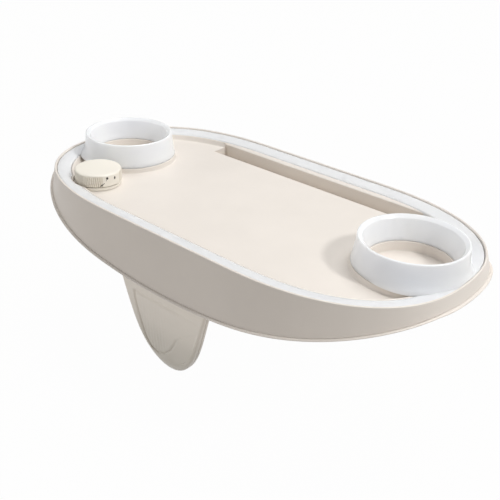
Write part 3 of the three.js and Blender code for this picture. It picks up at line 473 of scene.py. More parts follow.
def cellWrap(name):
    # printed sleeve in two plain bands along the cell
    material, tree, shader = nodeSet(name)
    along = spread(tree, placeAlong(tree, "X"), 0.0, 1.0, -0.0255, 0.0255)
    stops = [(0.0, (0.3, 0.31, 0.33)), (0.03, (0.03, 0.06, 0.1)), (0.7, (0.035, 0.07, 0.12)),
             (0.72, (0.55, 0.36, 0.14))]
    gloss = noise(tree, 220.0, 3.0)
    feed(tree, shader, {"Base Color": ramp(tree, along, stops), "Roughness": spread(tree, gloss, 0.29, 0.4)})
    bump(tree, shader, gloss, 0.00002, 0.3)
    return material


finishes = dict(
    shell=mouldedPlastic("shellBeige", (0.79, 0.735, 0.675), 0.42),
    # the tongue is the shell's plastic with its colour painted lighter, standing in for more light on its face
    tongue=tonguePaintedShadePlastic("tongueBeige", (0.915, 0.857, 0.772)),
    knob=mouldedPlastic("knobCream", (0.865, 0.82, 0.73), 0.4, 0.015, 3000.0, 0.00002),
    diffuser=frostedPlastic("frostedBand", (0.885, 0.9, 0.93), 0.2),
    lamps=mouldedPlastic("lampStripCream", (0.86, 0.82, 0.62), 0.4),
    dark=mouldedPlastic("darkMoulding", (0.025, 0.026, 0.028), 0.45, 0.12),
    ink=mouldedPlastic("printedMark", (0.045, 0.04, 0.035), 0.55, 0.1),
    steel=brightSteel("brightSteel"),
    rubber=softRubber("sealRubber", (0.03, 0.03, 0.031)),
    lead=softRubber("leadSheath", (0.05, 0.048, 0.046)),
    board=circuitBoard("boardLacquer"),
    cell=cellWrap("cellSleeve"),
)
print("finishes made,", len(finishes))


# Camera and light come from the photograph's own view
view = dict(place=(441.5, -523.3, 309.6), azimuth=40.632, elevation=28.489, roll=2.096, lens=53.575,
            shift=(0.0145, -0.0009), sensor=36.0, nearest=0.01)


def makeCamera():
    data = bpy.data.cameras.new("camera")
    data.lens = view["lens"]
    data.sensor_width = view["sensor"]
    data.shift_x, data.shift_y = view["shift"]
    data.clip_start = view["nearest"]
    azimuth, elevation, roll = (math.radians(view[k]) for k in ("azimuth", "elevation", "roll"))
    level = math.cos(elevation)
    back = Vector((math.sin(azimuth) * level, -math.cos(azimuth) * level, math.sin(elevation)))
    right = Vector((math.cos(azimuth), math.sin(azimuth), 0))
    up = back.cross(right)
    across = right * math.cos(roll) + up * math.sin(roll)
    upright = up * math.cos(roll) - right * math.sin(roll)
    turn = Matrix((across, upright, back)).transposed().to_4x4()
    camera = linked("camera", data)
    camera.matrix_world = Matrix.Translation(toRow(view["place"])) @ turn
    bpy.context.scene.camera = camera


makeCamera()

studio = dict(floorDrop=0.05, floorSize=14.0, floorColour=(0.5, 0.47, 0.44), floorShare=0.98, world=0.33,
              middle=(0, 0, -5))
lamps = dict(
    key=dict(way=(0.72, 0.1, 0.68), distance=4.0, size=0.6, power=64.0),
    top=dict(way=(0.0, 0.32, 0.95), distance=4.0, size=3.0, power=95.0),
    left=dict(way=(-0.64, -0.68, 0.3), distance=4.0, size=1.4, power=26.0),
)


def areaLight(name, way, distance, size, power):
    data = bpy.data.lights.new(name, "AREA")
    data.shape = "DISK"
    data.size = size
    data.energy = power
    direction = Vector(way).normalized()
    lamp = linked(name, data)
    lamp.location = Vector(toRow(studio["middle"])) + direction * distance
    lamp.rotation_euler = direction.to_track_quat("Z", "Y").to_euler()


def makeStudio():
    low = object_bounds()[0].z - studio["floorDrop"]
    half = studio["floorSize"] / 2
    corners = [(-half, -half, low), (half, -half, low), (half, half, low), (-half, half, low)]
    floor = meshObject("studioFloor", corners, [], [(0, 1, 2, 3)])
    material, tree, shader = nodeSet("studioWhite")
    feed(tree, shader, {"Base Color": (*studio["floorColour"], 1), "Roughness": 0.9, "Specular IOR Level": 0.1})
    # the camera, gloss and glass see a near-white sweep that still takes a soft shadow
    white = addNode(tree, "ShaderNodeEmission")
    path = addNode(tree, "ShaderNodeLightPath").outputs
    seen = maths(tree, "MAXIMUM", path["Is Camera Ray"], path["Is Glossy Ray"])
    seen = maths(tree, "MAXIMUM", seen, path["Is Transmission Ray"])
    share = maths(tree, "MULTIPLY", seen, studio["floorShare"])
    mix = addNode(tree, "ShaderNodeMixShader",
                  {"Fac": share, 1: shader.outputs["BSDF"], 2: white.outputs["Emission"]})
    feed(tree, tree.nodes["Material Output"], {"Surface": mix.outputs["Shader"]})
    floor.data.materials.append(material)
    for name, lamp in lamps.items():
        areaLight(name + "Light", **lamp)
    world = bpy.data.worlds.new("studio")
    world.use_nodes = True
    sky = world.node_tree
    light = addNode(sky, "ShaderNodeLightPath").outputs["Is Camera Ray"]
    feed(sky, sky.nodes["Background"], {"Color": (1, 1, 1, 1),
                                        "Strength": spread(sky, light, studio["world"], 1.0, 0.0, 1.0)})
    bpy.context.scene.world = world


makeStudio()
bpy.context.scene.view_settings.view_transform = "Standard"
print("camera and studio set")


# Tray shell: flared skirt, round lip, light channel, rib, floor, phone slot, wells and collars
shell = dict(lipWidth=2.3, lipRound=1.0, channelInner=17.3, ribWidth=2.0, ribRound=0.95, ribOuter=1.5,
             floorFillet=2.2, slope=2.7, skirtWall=3.0, slotEnds=(-127.0, 150.0), slotBack=100.5, slotWidth=18.5,
             slotUndercut=3.2, slotDepth=15.0, ledgeHalf=152.0, ledgeReach=110.0, ledgeRoll=(5.5, 2.0),
             edgeRound=0.9, collarRadius=53.2, collarTaper=0.6, collarFillet=1.3, dishFillet=1.2,
             pocketRadius=26.5, fence=28.6, wall=2.0, potBase=2.4, bushHole=4.9)


def skirtEdge(x):
    return bellyZ(x) + belly["cover"] + belly["gap"]


def shellBlank():
    r, lip, fillet = shell["lipRound"], shell["lipWidth"], shell["floorFillet"]
    inner = shell["channelInner"] + shell["ribWidth"]
    ribRound = shell["ribRound"]
    crown = ribRound * 1.6
    profile = [(belly["flare"], skirtEdge)]
    profile += arc(-r, -r, r, 0, 90) + arc(r - lip, -r, r, 90, 180) + [(-lip, ribLevel)]
    profile += inwards(arc(inner - ribRound, ribLevel - crown, crown, 90, 20))
    profile += inwards(arc(inner + shell["slope"] + fillet * 0.6, floorLevel + fillet, fillet, 205, 270))
    return rimLoft("trayShell", profile)


def collarBlank(side):
    r, fillet, edge, top = shell["collarRadius"], shell["collarFillet"], shell["edgeRound"], cup["collarTop"]
    base, sunk = ceilingLevel + overlap, floorLevel - 2 * hair
    profile = [(0, base), (r + fillet, base), (r + fillet, sunk)]
    profile += arc(r + fillet, sunk + fillet, fillet, 255, 190)
    profile += arc(r - shell["collarTaper"] - edge, top - edge, edge, 8, 90) + [(0, top)]
    return turned("collar", cupPlace(side), profile)


def channelCutter():
    # rounds the rib's outer top edge too; the wells and the fence round the knob stay standing in it
    outer, inner, edge = shell["lipWidth"] + hair, shell["channelInner"], shell["ribOuter"]
    profile = [(outer, channelFloor), (inner, channelFloor)]
    profile += arc(inner + edge, ribLevel - edge, edge, 180, 90)
    profile += [(inner + edge, aside), (outer, aside)]
    cutter = rimLoft("channelCutter", inwards(profile), closed=True)
    kept = [post(cupPlace(side), potRadius, -aside, aside, roundSides) for side in bothSides]
    kept.append(post(knobPlace, shell["fence"], -aside, aside, roundSides))
    return carve(cutter, kept)


def dishCutter(place, radius, low, top, edge):
    # a round hollow with a fillet at its floor and a rounded upper edge
    fillet = shell["dishFillet"]
    profile = [(0, low)] + arc(radius - fillet, low + fillet, fillet, 270, 360)
    profile += arc(radius + edge, top - edge, edge, 180, 90) + [(radius + edge, aside), (0, aside)]
    return turned("dish", place, profile)


def slotCutter():
    back, low, edge = shell["slotBack"], floorLevel - shell["slotDepth"], shell["edgeRound"]
    front = back - shell["slotWidth"]
    across, drop = shell["ledgeRoll"]
    outline = [(front, low)] + arc(front - edge, floorLevel - edge, edge, 0, 90)
    outline += [(front - edge, aside), (back + across, aside)]
    outline += [(back + across * (1 - math.sin(turn)), ribLevel - drop * (1 - math.cos(turn)))
                for turn in quarterTurn(9)]
    outline.append((back + shell["slotUndercut"], low))
    return prism("slotCutter", outline, "X", *shell["slotEnds"])


def ledge():
    # the shelf behind the slot
    back, reach, low = shell["slotBack"], shell["ledgeReach"], ceilingLevel + overlap
    outline = [(back, low), (back, ribLevel), (reach, ribLevel), (reach, low)]
    return prism("ledge", outline, "X", -shell["ledgeHalf"], shell["ledgeHalf"])


def cavityCutter():
    # the hollow under the floor, round the slot's trough and the two pots
    skirt, wall = belly["flare"], shell["wall"]
    bottom = rimRing(skirt - shell["skirtWall"], lambda x: np.minimum(skirtEdge(x), ceilingLevel) - 1)
    reach = skirt * np.minimum(1, ceilingLevel / skirtEdge(rimX)) - shell["skirtWall"]
    cutter = loft("cavity", [bottom, rimRing(reach, ceilingLevel)])
    front = shell["slotBack"] - shell["slotWidth"] - wall
    back = shell["slotBack"] + shell["slotUndercut"] + wall
    low = floorLevel - shell["slotDepth"] - wall
    left, right = shell["slotEnds"]
    trough = [(front, low), (back, low), (back, aside), (front, aside)]
    kept = [prism("trough", trough, "X", left - wall, right + wall)]
    potLow = cup["wellFloor"] - shell["potBase"]
    kept += [post(cupPlace(side), potRadius, potLow, aside, roundSides) for side in bothSides]
    return carve(cutter, kept)


def makeShell():
    tray = shellBlank()
    r, seat, top, edge = shell["collarRadius"], cup["collarTop"], cup["potTop"], shell["edgeRound"]
    base = ceilingLevel + overlap
    pots = [post(cupPlace(side), potRadius, base, top, roundSides) for side in bothSides]
    carve(tray, [ledge(), collarBlank(-1), collarBlank(1), *pots], "UNION")
    carve(tray, [channelCutter()])
    seatProfile = [(0, top), (potRadius, top), (potRadius, seat), (r, seat), (r, aside), (0, aside)]
    cutters = [turned("seat", cupPlace(side), seatProfile) for side in bothSides]
    cutters += [dishCutter(cupPlace(side), cup["wellRadius"], cup["wellFloor"], top, edge) for side in bothSides]
    pocket = dishCutter(knobPlace, shell["pocketRadius"], floorLevel + hair, ribLevel, shell["ribRound"])
    bush = post(knobPlace, shell["bushHole"], -aside, aside, 32)
    carve(tray, cutters + [slotCutter(), pocket, cavityCutter(), bush])
    return dress(smooth(tray), finishes["shell"], "beige_shell", "tray", "tray_body")


makeShell()


# Light band: a sweep round the rim by geometry nodes, joined with the two cup rings
band = dict(outer=2.9, inner=17.0, foot=-8.2, top=-1.4, edge=-3.8, leg=1.5, thickness=2.0, crown=1.7, round=0.9,
            innerRound=2.0, ringTop=20.9, ringWall=5.0, ringRadius=48.4, ringFoot=51.8, ringRound=1.3,
            ringLead=2.6, ringCrest=1.7, ringSides=144, notch=28.9, flare=4.2, flareTop=8.0, clearance=0.3)


def nodeTree(name, lengths=(), **kinds):
    # named inputs: the geometry, plain numbers, other kinds and the material
    tree = bpy.data.node_groups.new(name, "GeometryNodeTree")
    tree.interface.new_socket("Geometry", in_out="OUTPUT", socket_type="NodeSocketGeometry")
    kinds = {"Geometry": "Geometry", **dict.fromkeys(lengths, "Float"), **kinds, "Material": "Material"}
    for label, kind in kinds.items():
        tree.interface.new_socket(label, in_out="INPUT", socket_type="NodeSocket" + kind)
    return tree, addNode(tree, "NodeGroupInput").outputs


def finishTree(tree, given, geometry):
    # every tree ends the same way: real geometry with its material on
    real = addNode(tree, "GeometryNodeRealizeInstances", {"Geometry": geometry}).outputs["Geometry"]
    painted = addNode(tree, "GeometryNodeSetMaterial", {"Geometry": real, "Material": given["Material"]})
    addNode(tree, "NodeGroupOutput", {"Geometry": painted.outputs["Geometry"]})
    return tree


def runTree(piece, tree, values):
    change = piece.modifiers.new("tree", "NODES")
    change.node_group = tree
    for socket in tree.interface.items_tree:
        if socket.in_out == "INPUT" and socket.name in values:
            change[socket.identifier] = values[socket.name]
    piece.update_tag()
    return evaluated(piece)


def loopObject(name, points):
    count = len(points)
    return meshObject(name, points, [(k, (k + 1) % count) for k in range(count)], [])


def sweepTree():
    tree, given = nodeTree("rimSweep", Profile="Object")
    path = addNode(tree, "GeometryNodeMeshToCurve", {"Mesh": given["Geometry"]}).outputs["Curve"]
    upright = addNode(tree, "GeometryNodeSetCurveNormal", {"Curve": path}, mode="Z_UP")
    section = addNode(tree, "GeometryNodeObjectInfo", {"Object": given["Profile"]}).outputs["Geometry"]
    sectionCurve = addNode(tree, "GeometryNodeMeshToCurve", {"Mesh": section}).outputs["Curve"]
    sweep = addNode(tree, "GeometryNodeCurveToMesh",
                    {"Curve": upright.outputs["Curve"], "Profile Curve": sectionCurve})
    return finishTree(tree, given, sweep.outputs["Mesh"])


def bandTop(reach):
    # the band falls away towards the tray, faster near its inner edge
    share = (reach - band["outer"]) / (band["inner"] - band["outer"])
    return band["top"] + (band["edge"] - band["top"]) * np.clip(share, 0, 1) ** band["crown"]


def bandProfile():
    outer, inner, foot, leg, top, r, far, thick = (band[k] for k in (
        "outer", "inner", "foot", "leg", "top", "round", "innerRound", "thickness"))
    points = [(outer, foot)] + arc(outer + r, top - r, r, 180, 95)
    points += [(w, bandTop(w)) for w in np.linspace(outer + r + 0.6, inner - far - 0.4, 14)]
    points += arc(inner - far, bandTop(inner - far) - far - 0.1, far, 62, 0, 6)
    points += [(inner, foot), (inner - leg, foot), (inner - leg, bandTop(inner - leg) - thick)]
    return points + [(outer + leg, top - thick), (outer + leg, foot)]


def bandSweep():
    path = loopObject("lightDiffuser", toRow(rimRing(0, 0)))
    section = loopObject("bandSection", [(-w / 1000, -z / 1000, 0) for w, z in bandProfile()])
    runTree(path, sweepTree(), {"Profile": section, "Material": finishes["diffuser"]})
    bpy.data.objects.remove(section)
    return tightened(path, near=1e-7)


def ringBlank(side):
    # the foot runs out in a hollow curve on the side of the tray's end and stays upright over the floor
    top, r, rimRound, foot = (band["ring" + k] for k in ("Top", "Radius", "Round", "Foot"))
    low, high, flareTop = cup["collarTop"] + band["clearance"], top - rimRound, band["flareTop"]
    profile = [(foot, low), (foot - 0.2, low + 0.8)]
    for share in (0.1, 0.18, 0.26, 0.34, 0.42, 0.5, 0.6, 0.8):
        profile.append((r + (foot - 0.3 - r) * (1 - share) ** 1.3, low + (high - low) * share))
    profile += arc(r - rimRound, high, rimRound, 6, 90, 8)
    turns = circle(band["ringSides"])
    outward = ease(side * np.cos(turns), -0.35, 0.9)
    rings = []
    for reach, z in profile:
        run = np.clip((flareTop - z) / (flareTop - low), 0, 1) ** 2.4
        rings.append(ringAt(cupPlace(side), reach + band["flare"] * run * outward, z, turns))
    inLip = rimLoft("inLip", [(-band["outer"], -aside), (-band["outer"], aside)])
    return carve(loft("ringBlank", rings), [inLip], "INTERSECT")


def ringBore(side):
    # over the pot, in below its rim, up the hollow wall and out over the bevel at the mouth
    top, r, clearance = band["ringTop"], band["ringRadius"], band["clearance"]
    foot, base = cup["potTop"] + clearance, potRadius + clearance
    inside, crest, lead = r - band["ringWall"], r - band["ringCrest"], top - band["ringLead"]
    bore = [(0, -aside), (base, -aside), (base, foot), (base - 1.5, foot), (base - 0.5, foot + 3.0),
            (base + 0.6, foot + 8.0), (inside, lead - 0.8), (inside + 0.4, lead), (crest - 0.4, top - 0.35),
            (crest, top), (crest, aside), (0, aside)]
    return turned("ringBore", cupPlace(side), bore)


def makeDiffuser():
    diffuser = bandSweep()
    carve(diffuser, [ringBlank(side) for side in bothSides], "UNION")
    notch = post(knobPlace, band["notch"], -aside, aside, roundSides)
    carve(diffuser, [ringBore(-1), ringBore(1), notch])
    return dress(smooth(diffuser), finishes["diffuser"], "frosted_diffuser", "tray", "light_diffuser")


makeDiffuser()


# Screws: one tree makes the head with its cross recess and sets a copy on every point.
# turn is about X; seat is the axis and the end, low 0 or high 1, where the solid has its head
screws = dict(
    cover=dict(count=10, head=3.2, headHeight=2.2, shank=1.4, length=10.0, turn=0.0, seat=(2, 0)),
    bracket=dict(count=4, head=3.2, headHeight=2.2, shank=1.5, length=16.0, turn=0.0, seat=(2, 0)),
    board=dict(count=2, head=2.2, headHeight=1.2, shank=1.1, length=6.0, turn=math.pi, seat=(2, 1)),
    tongue=dict(count=3, head=2.6, headHeight=1.5, shank=1.2, length=6.4, turn=math.pi / 2, seat=(1, 1)),
    door=dict(count=4, head=2.4, headHeight=0.8, shank=1.1, length=8.0, turn=0.0, seat=(2, 0)),
)
recess = dict(reach=1.1, width=0.24)  # shares of the head's radius
screwEdge = 25  # degrees; sharper turns stay edges


def screwTree():
    sizes = ["Head Radius", "Head Height", "Shank Radius", "Length", "Recess Reach", "Recess Width", "Recess Depth"]
    tree, given = nodeTree("screwSet", sizes, Turn="Vector")
    sums = partial(maths, tree)
    radius, height, length = given["Head Radius"], given["Head Height"], given["Length"]
    head = addNode(tree, "GeometryNodeMeshCone", {
        "Vertices": 24, "Radius Bottom": sums("MULTIPLY", radius, 0.8), "Radius Top": radius, "Depth": height})
    shankLength = sums("SUBTRACT", length, sums("MULTIPLY", height, 0.5))
    shank = addNode(tree, "GeometryNodeMeshCylinder", {
        "Vertices": 16, "Radius": given["Shank Radius"], "Depth": shankLength})
    lift = addNode(tree, "ShaderNodeCombineXYZ", {
        "Z": sums("SUBTRACT", length, sums("MULTIPLY", shankLength, 0.5))})
    moved = addNode(tree, "GeometryNodeTransform", {
        "Geometry": shank.outputs["Mesh"], "Translation": lift.outputs["Vector"]})
    whole = addNode(tree, "GeometryNodeMeshBoolean", operation="UNION", solver="MANIFOLD")
    feed(tree, whole, {"Mesh 2": head.outputs["Mesh"]})
    feed(tree, whole, {"Mesh 2": moved.outputs["Geometry"]})
    crossed = addNode(tree, "GeometryNodeMeshBoolean", operation="DIFFERENCE", solver="MANIFOLD")
    feed(tree, crossed, {"Mesh 1": whole.outputs["Mesh"]})
    for along, across in ("XY", "YX"):
        size = addNode(tree, "ShaderNodeCombineXYZ", {
            along: given["Recess Reach"], across: given["Recess Width"], "Z": given["Recess Depth"]})
        bar = addNode(tree, "GeometryNodeMeshCube", {"Size": size.outputs["Vector"]})
        feed(tree, crossed, {"Mesh 2": bar.outputs["Mesh"]})
    points = addNode(tree, "GeometryNodeMeshToPoints", {"Mesh": given["Geometry"]})
    turn = addNode(tree, "FunctionNodeEulerToRotation", {"Euler": given["Turn"]})
    copies = addNode(tree, "GeometryNodeInstanceOnPoints", {
        "Points": points.outputs["Points"], "Instance": crossed.outputs["Mesh"],
        "Rotation": turn.outputs["Rotation"]})
    return finishTree(tree, given, copies.outputs["Instances"])


screwMaker = screwTree()


def nodeCentre(name):
    # the middle and the two far corners of a solid, in millimetres from the lip
    low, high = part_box(name)
    return [np.array(corner) * 1000 - rimToRow for corner in ((low + high) / 2, low, high)]


def screwNodes(family):
    return [f"{family}_screw_{k + 1}" for k in range(screws[family]["count"])]


def screwSet(family):
    # each copy stands where its solid stands, head outwards
    size = screws[family]
    axis, end = size["seat"]
    spots = []
    for name in screwNodes(family):
        spot, *corners = nodeCentre(name)
        spot[axis] = corners[end][axis]
        spots.append(spot)
    piece = meshObject(family + "Screws", toRow(spots), [], [])
    lengths = {"Head Radius": size["head"], "Head Height": size["headHeight"], "Shank Radius": size["shank"],
               "Length": size["length"], "Recess Reach": size["head"] * recess["reach"],
               "Recess Width": size["head"] * recess["width"], "Recess Depth": size["headHeight"]}
    values = {label: length / 1000 for label, length in lengths.items()}
    return runTree(piece, screwMaker, {**values, "Turn": (size["turn"], 0, 0), "Material": finishes["steel"]})


def joinPieces(name, pieces):
    work = bmesh.new()
    for piece in pieces:
        work.from_mesh(piece.data)
    mesh = bpy.data.meshes.new(name)
    work.to_mesh(mesh)
    work.free()
    for piece in pieces:
        bpy.data.objects.remove(piece)
    return linked(name, mesh)


def makeScrews():
    sets = {family: screwSet(family) for family in screws}
    doorSet = joinPieces("doorScrews", [sets.pop("door")])
    traySet = joinPieces("trayScrews", list(sets.values()))
    trayNodes = [name for family in sets for name in screwNodes(family)]
    dress(smooth(traySet, screwEdge), finishes["steel"], "steel", "tray", *trayNodes)
    dress(smooth(doorSet, screwEdge), finishes["steel"], "steel", "door", *screwNodes("door"))


makeScrews()


# Bottom cover: a plate bent to the belly that stands past the skirt as a thin flange
coverPlate = dict(edge=0.45, roll=(1.8, 1.0), bossRadius=5.8, bossTop=6.2, headHole=3.6, headTop=3.9, shankHole=1.8,
                  doorHalf=(47.65, 30.7), doorCorner=4.0, doorTop=-54.3, frameMargin=3.5, frameCorner=5.0,
                  frameTop=-51.3, opening=(29.75, 22.7), openingCorner=1.5, tongueBoss=4.1, tongueBossTop=-43.6,
                  postRadius=3.0, postTop=-42.0, wallReach=0.4, wallLean=1.6, wallThickness=3.0, wallRise=7.2,
                  wallHalf=198.0)


def mirrored(x, *across):
    return [(side * x, y) for side in bothSides for y in across]


coverSpots = mirrored(205.15, -52.5, 52.5) + mirrored(134.0, -107.2, 107.2) + mirrored(45.0, 112.0)
bracketSpots = mirrored(30.0, -91.6, -69.6)
boardSpots = [(x - 85.0, y - 45.0) for x, y in mirrored(19.0, -9.0, 9.0)]


def coverBlank():
    reach = belly["flare"] + belly["flange"]
    edge, thick = coverPlate["edge"], belly["cover"]
    across, rise = coverPlate["roll"]
    profile = [(reach - edge, aboveBelly(0)), (reach - edge * 0.3, aboveBelly(edge * 0.3)), (reach, aboveBelly(edge))]
    for turn in quarterTurn(6):
        lift = thick - rise * (1 - math.sin(turn))
        profile.append((reach - across * (1 - math.cos(turn)), aboveBelly(lift)))
    return rimLoft("coverPlate", profile)


def coverRaised():
    # bosses, battery frame, board posts and the locating wall, trimmed to start inside the plate
    bossTop, wide = coverPlate["bossTop"], slab["halfWidth"]
    pieces = [post(spot, coverPlate["bossRadius"], deep, bellyZ(spot[0]) + bossTop) for spot in coverSpots]
    pieces += [post(spot, coverPlate["tongueBoss"], deep, coverPlate["tongueBossTop"]) for spot in bracketSpots]
    pieces += [post(spot, coverPlate["postRadius"], deep, coverPlate["postTop"]) for spot in boardSpots]
    sides = [half + coverPlate["frameMargin"] for half in coverPlate["doorHalf"]]
    outline = roundedBox(*sides, coverPlate["frameCorner"])
    raised = prism("raised", outline, "Z", deep, coverPlate["frameTop"])
    carve(raised, pieces, "UNION")
    reach, half, top = coverPlate["wallReach"], coverPlate["wallHalf"], aboveBelly(coverPlate["wallRise"])
    inner = reach - coverPlate["wallThickness"]
    section = [(reach, bellyZ), (reach - coverPlate["wallLean"], top), (inner, top), (inner, bellyZ)]
    along = prism("along", [(-wide, deep), (wide, deep), (wide, 0), (-wide, 0)], "X", -half, half)
    wall = carve(rimLoft("wall", section, closed=True), [along], "INTERSECT")
    carve(raised, [wall], "UNION")
    return carve(raised, [bellySlab(belly["cover"] / 2, 60.0)], "INTERSECT")


def makeCover():
    cover = coverBlank()
    carve(cover, [coverRaised()], "UNION")
    cutters = []
    for spot in coverSpots:
        cutters.append(post(spot, coverPlate["headHole"], deep, bellyZ(spot[0]) + coverPlate["headTop"]))
        cutters.append(post(spot, coverPlate["shankHole"], deep, 0, 20))
    recessOutline = roundedBox(*coverPlate["doorHalf"], coverPlate["doorCorner"])
    openingOutline = roundedBox(*coverPlate["opening"], coverPlate["openingCorner"])
    cutters.append(prism("doorRecess", recessOutline, "Z", deep, coverPlate["doorTop"]))
    cutters.append(prism("opening", openingOutline, "Z", deep, 0))
    carve(cover, cutters)
    return dress(smooth(cover), finishes["shell"], "beige_shell", "tray", "bottom_cover")


makeCover()


# Battery door: its lower face carries the belly on
door = dict(half=(47.25, 30.3), corner=3.6, top=-55.9, edge=0.5, bevelFrom=50, screwHole=1.5, headHole=2.8,
            headRoom=0.3)


def makeDoor():
    panel = prism("batteryDoor", roundedBox(*door["half"], door["corner"]), "Z", deep, door["top"])
    carve(panel, [bellySlab(0.0, 60.0)], "INTERSECT")
    cutters = []
    for name in screwNodes("door"):
        middle, low, _ = nodeCentre(name)
        headTop = low[2] + screws["door"]["headHeight"] + door["headRoom"]
        cutters.append(post(middle[:2], door["screwHole"], deep, 0, 20))
        cutters.append(post(middle[:2], door["headHole"], deep, headTop))
    carve(panel, cutters)
    bevel = panel.modifiers.new("edge", "BEVEL")
    bevel.width = door["edge"] / 1000
    bevel.segments = 2
    bevel.limit_method = "ANGLE"
    bevel.angle_limit = math.radians(door["bevelFrom"])
    evaluated(panel)
    return dress(smooth(panel), finishes["shell"], "beige_shell", "door", "battery_door")


makeDoor()


# Switch knob: turned cap whose grip is fluted by geometry nodes, left plain for its marks
knob = dict(radius=24.5, foot=-5.4, crown=8.0, dome=0.35, edge=2.6, footRound=0.4, wall=2.3, ribs=72, ribDepth=1.5,
            sharpness=1.7, plainMiddle=-4.0, plainHalf=24.0, fade=2.0, hub=6.5, hubFoot=-4.6, bore=3.15, boreTop=3.2,
            markProud=0.05, markSunk=0.35)
# marks, in degrees round the grip and height: dots with their half sizes, strokes with their two widths
dots = [(-16.8, 4.0, 2.9, 1.4), (4.6, 2.6, 2.4, 1.7)]
strokes = [((-18.0, 2.2), (-26.0, -1.8), 0.5, 0.6), ((-26.4, -2.0), (-34.0, -3.9), 0.7, 1.3)]


def fluteTree():
    sizes = ["Centre X", "Centre Y", "Radius", "Depth", "Plain Middle", "Plain Half", "High", "Fade", "Sharpness"]
    tree, given = nodeTree("knobFlutes", sizes, Ribs="Int")
    sums = partial(maths, tree)

    def step(value, low, high):
        inputs = {"Value": value, "From Min": low, "From Max": high}
        return addNode(tree, "ShaderNodeMapRange", inputs, interpolation_type="SMOOTHSTEP").outputs["Result"]

    position = addNode(tree, "GeometryNodeInputPosition").outputs["Position"]
    place = addNode(tree, "ShaderNodeSeparateXYZ", {"Vector": position}).outputs
    radius, plain, high = given["Radius"], given["Plain Half"], given["High"]
    dx = sums("SUBTRACT", place["X"], given["Centre X"])
    dy = sums("SUBTRACT", place["Y"], given["Centre Y"])
    reach = sums("SQRT", sums("ADD", sums("MULTIPLY", dx, dx), sums("MULTIPLY", dy, dy)))
    reach = sums("MAXIMUM", reach, 0.0001)
    turn = sums("ARCTAN2", dy, dx)
    wave = sums("MULTIPLY_ADD", sums("COSINE", sums("MULTIPLY", turn, given["Ribs"])), 0.5, 0.5)
    away = sums("ABSOLUTE", sums("SUBTRACT", turn, given["Plain Middle"]))
    fluted = step(away, plain, sums("ADD", plain, 0.05))
    outside = step(reach, sums("MULTIPLY", radius, 0.955), sums("MULTIPLY", radius, 0.985))
    below = step(place["Z"], high, sums("SUBTRACT", high, given["Fade"]))
    share = sums("MULTIPLY", below, sums("MULTIPLY", fluted, outside))
    groove = sums("POWER", wave, given["Sharpness"])
    sink = sums("MULTIPLY", sums("MULTIPLY", groove, share), sums("MULTIPLY", given["Depth"], -1.0))
    along = sums("DIVIDE", sink, reach)
    offset = addNode(tree, "ShaderNodeCombineXYZ", {
        "X": sums("MULTIPLY", dx, along), "Y": sums("MULTIPLY", dy, along)})
    pressed = addNode(tree, "GeometryNodeSetPosition", {
        "Geometry": given["Geometry"], "Offset": offset.outputs["Vector"]})
    return finishTree(tree, given, pressed.outputs["Geometry"])


def knobMark(outline):
    # a small curved tile let into the plain part of the grip
    points = []
    for radius in (knob["radius"] + knob["markProud"], knob["radius"] - knob["markSunk"]):
        for angle, z in outline:
            turn = math.radians(angle)
            points.append((knobPlace[0] + radius * math.cos(turn), knobPlace[1] + radius * math.sin(turn), z))
    return solid("mark", points, capped(len(outline), 2))


def stroke(start, end, width, endWidth):
    # the outline of a stroke that tapers from its start to its end
    perDegree = math.radians(knob["radius"])  # millimetres round the grip for each degree
    a, b = np.array(start) * (perDegree, 1), np.array(end) * (perDegree, 1)
    side = np.array([a[1] - b[1], b[0] - a[0]])
    side = side / np.linalg.norm(side) / 2
    corners = (a + side * width, b + side * endWidth, b - side * endWidth, a - side * width)
    return [(corner[0] / perDegree, corner[1]) for corner in corners]


def makeKnob():
    r, edge, crown, foot, dome, small = (knob[k] for k in ("radius", "edge", "crown", "foot", "dome", "footRound"))
    hub, hubFoot, bore, boreTop = (knob[k] for k in ("hub", "hubFoot", "bore", "boreTop"))
    shoulder, inner, roof = crown - dome - edge, r - knob["wall"], crown - knob["wall"]
    profile = [(0, crown)] + [(r * at, crown - dome * at ** 2 / 0.8) for at in (0.3, 0.6, 0.8)]
    profile += arc(r - edge, shoulder, edge, 80, 0, 8)
    profile += [(r, z) for z in np.linspace(shoulder, foot + small, 16)[1:]]
    profile += arc(r - small, foot + small, small, 0, -90, 3)
    profile += [(inner, foot), (inner, roof), (hub, roof), (hub, hubFoot), (bore, hubFoot), (bore, boreTop),
                (0, boreTop)]
    cap = turned("switchKnob", knobPlace, profile, knob["ribs"] * 8)
    centre = toRow((*knobPlace, crown - edge * 0.4))
    runTree(cap, fluteTree(), {
        "Centre X": float(centre[0]), "Centre Y": float(centre[1]), "High": float(centre[2]), "Radius": r / 1000,
        "Depth": knob["ribDepth"] / 1000, "Fade": knob["fade"] / 1000, "Ribs": knob["ribs"],
        "Plain Middle": math.radians(knob["plainMiddle"]), "Plain Half": math.radians(knob["plainHalf"]),
        "Sharpness": knob["sharpness"], "Material": finishes["knob"]})
    dress(smooth(cap, 40), finishes["knob"], "cream_knob", "knob", "switch_knob")
    outlines = [oval(*dot, 20) for dot in dots] + [stroke(*ends) for ends in strokes]
    marks = joinPieces("knobMarks", [knobMark(outline) for outline in outlines])
    dress(smooth(marks), finishes["ink"], "cream_knob", "knob")


makeKnob()

# Ring under the knob
knobRing = dict(radius=24.0, hole=12.0, low=-9.3, high=-6.3, edge=0.6, footRound=0.3, sides=160)


def makeKnobRing():
    r, hole, low, high, edge, small = (knobRing[k] for k in ("radius", "hole", "low", "high", "edge", "footRound"))
    profile = [(hole, low)] + arc(r - small, low + small, small, -90, 0, 3)
    profile += arc(r - edge, high - edge, edge, 0, 90) + [(hole, high)]
    base = turned("knobRing", knobPlace, profile, knobRing["sides"])
    dress(smooth(base), finishes["knob"], "cream_knob", "tray", "knob_base")


makeKnobRing()


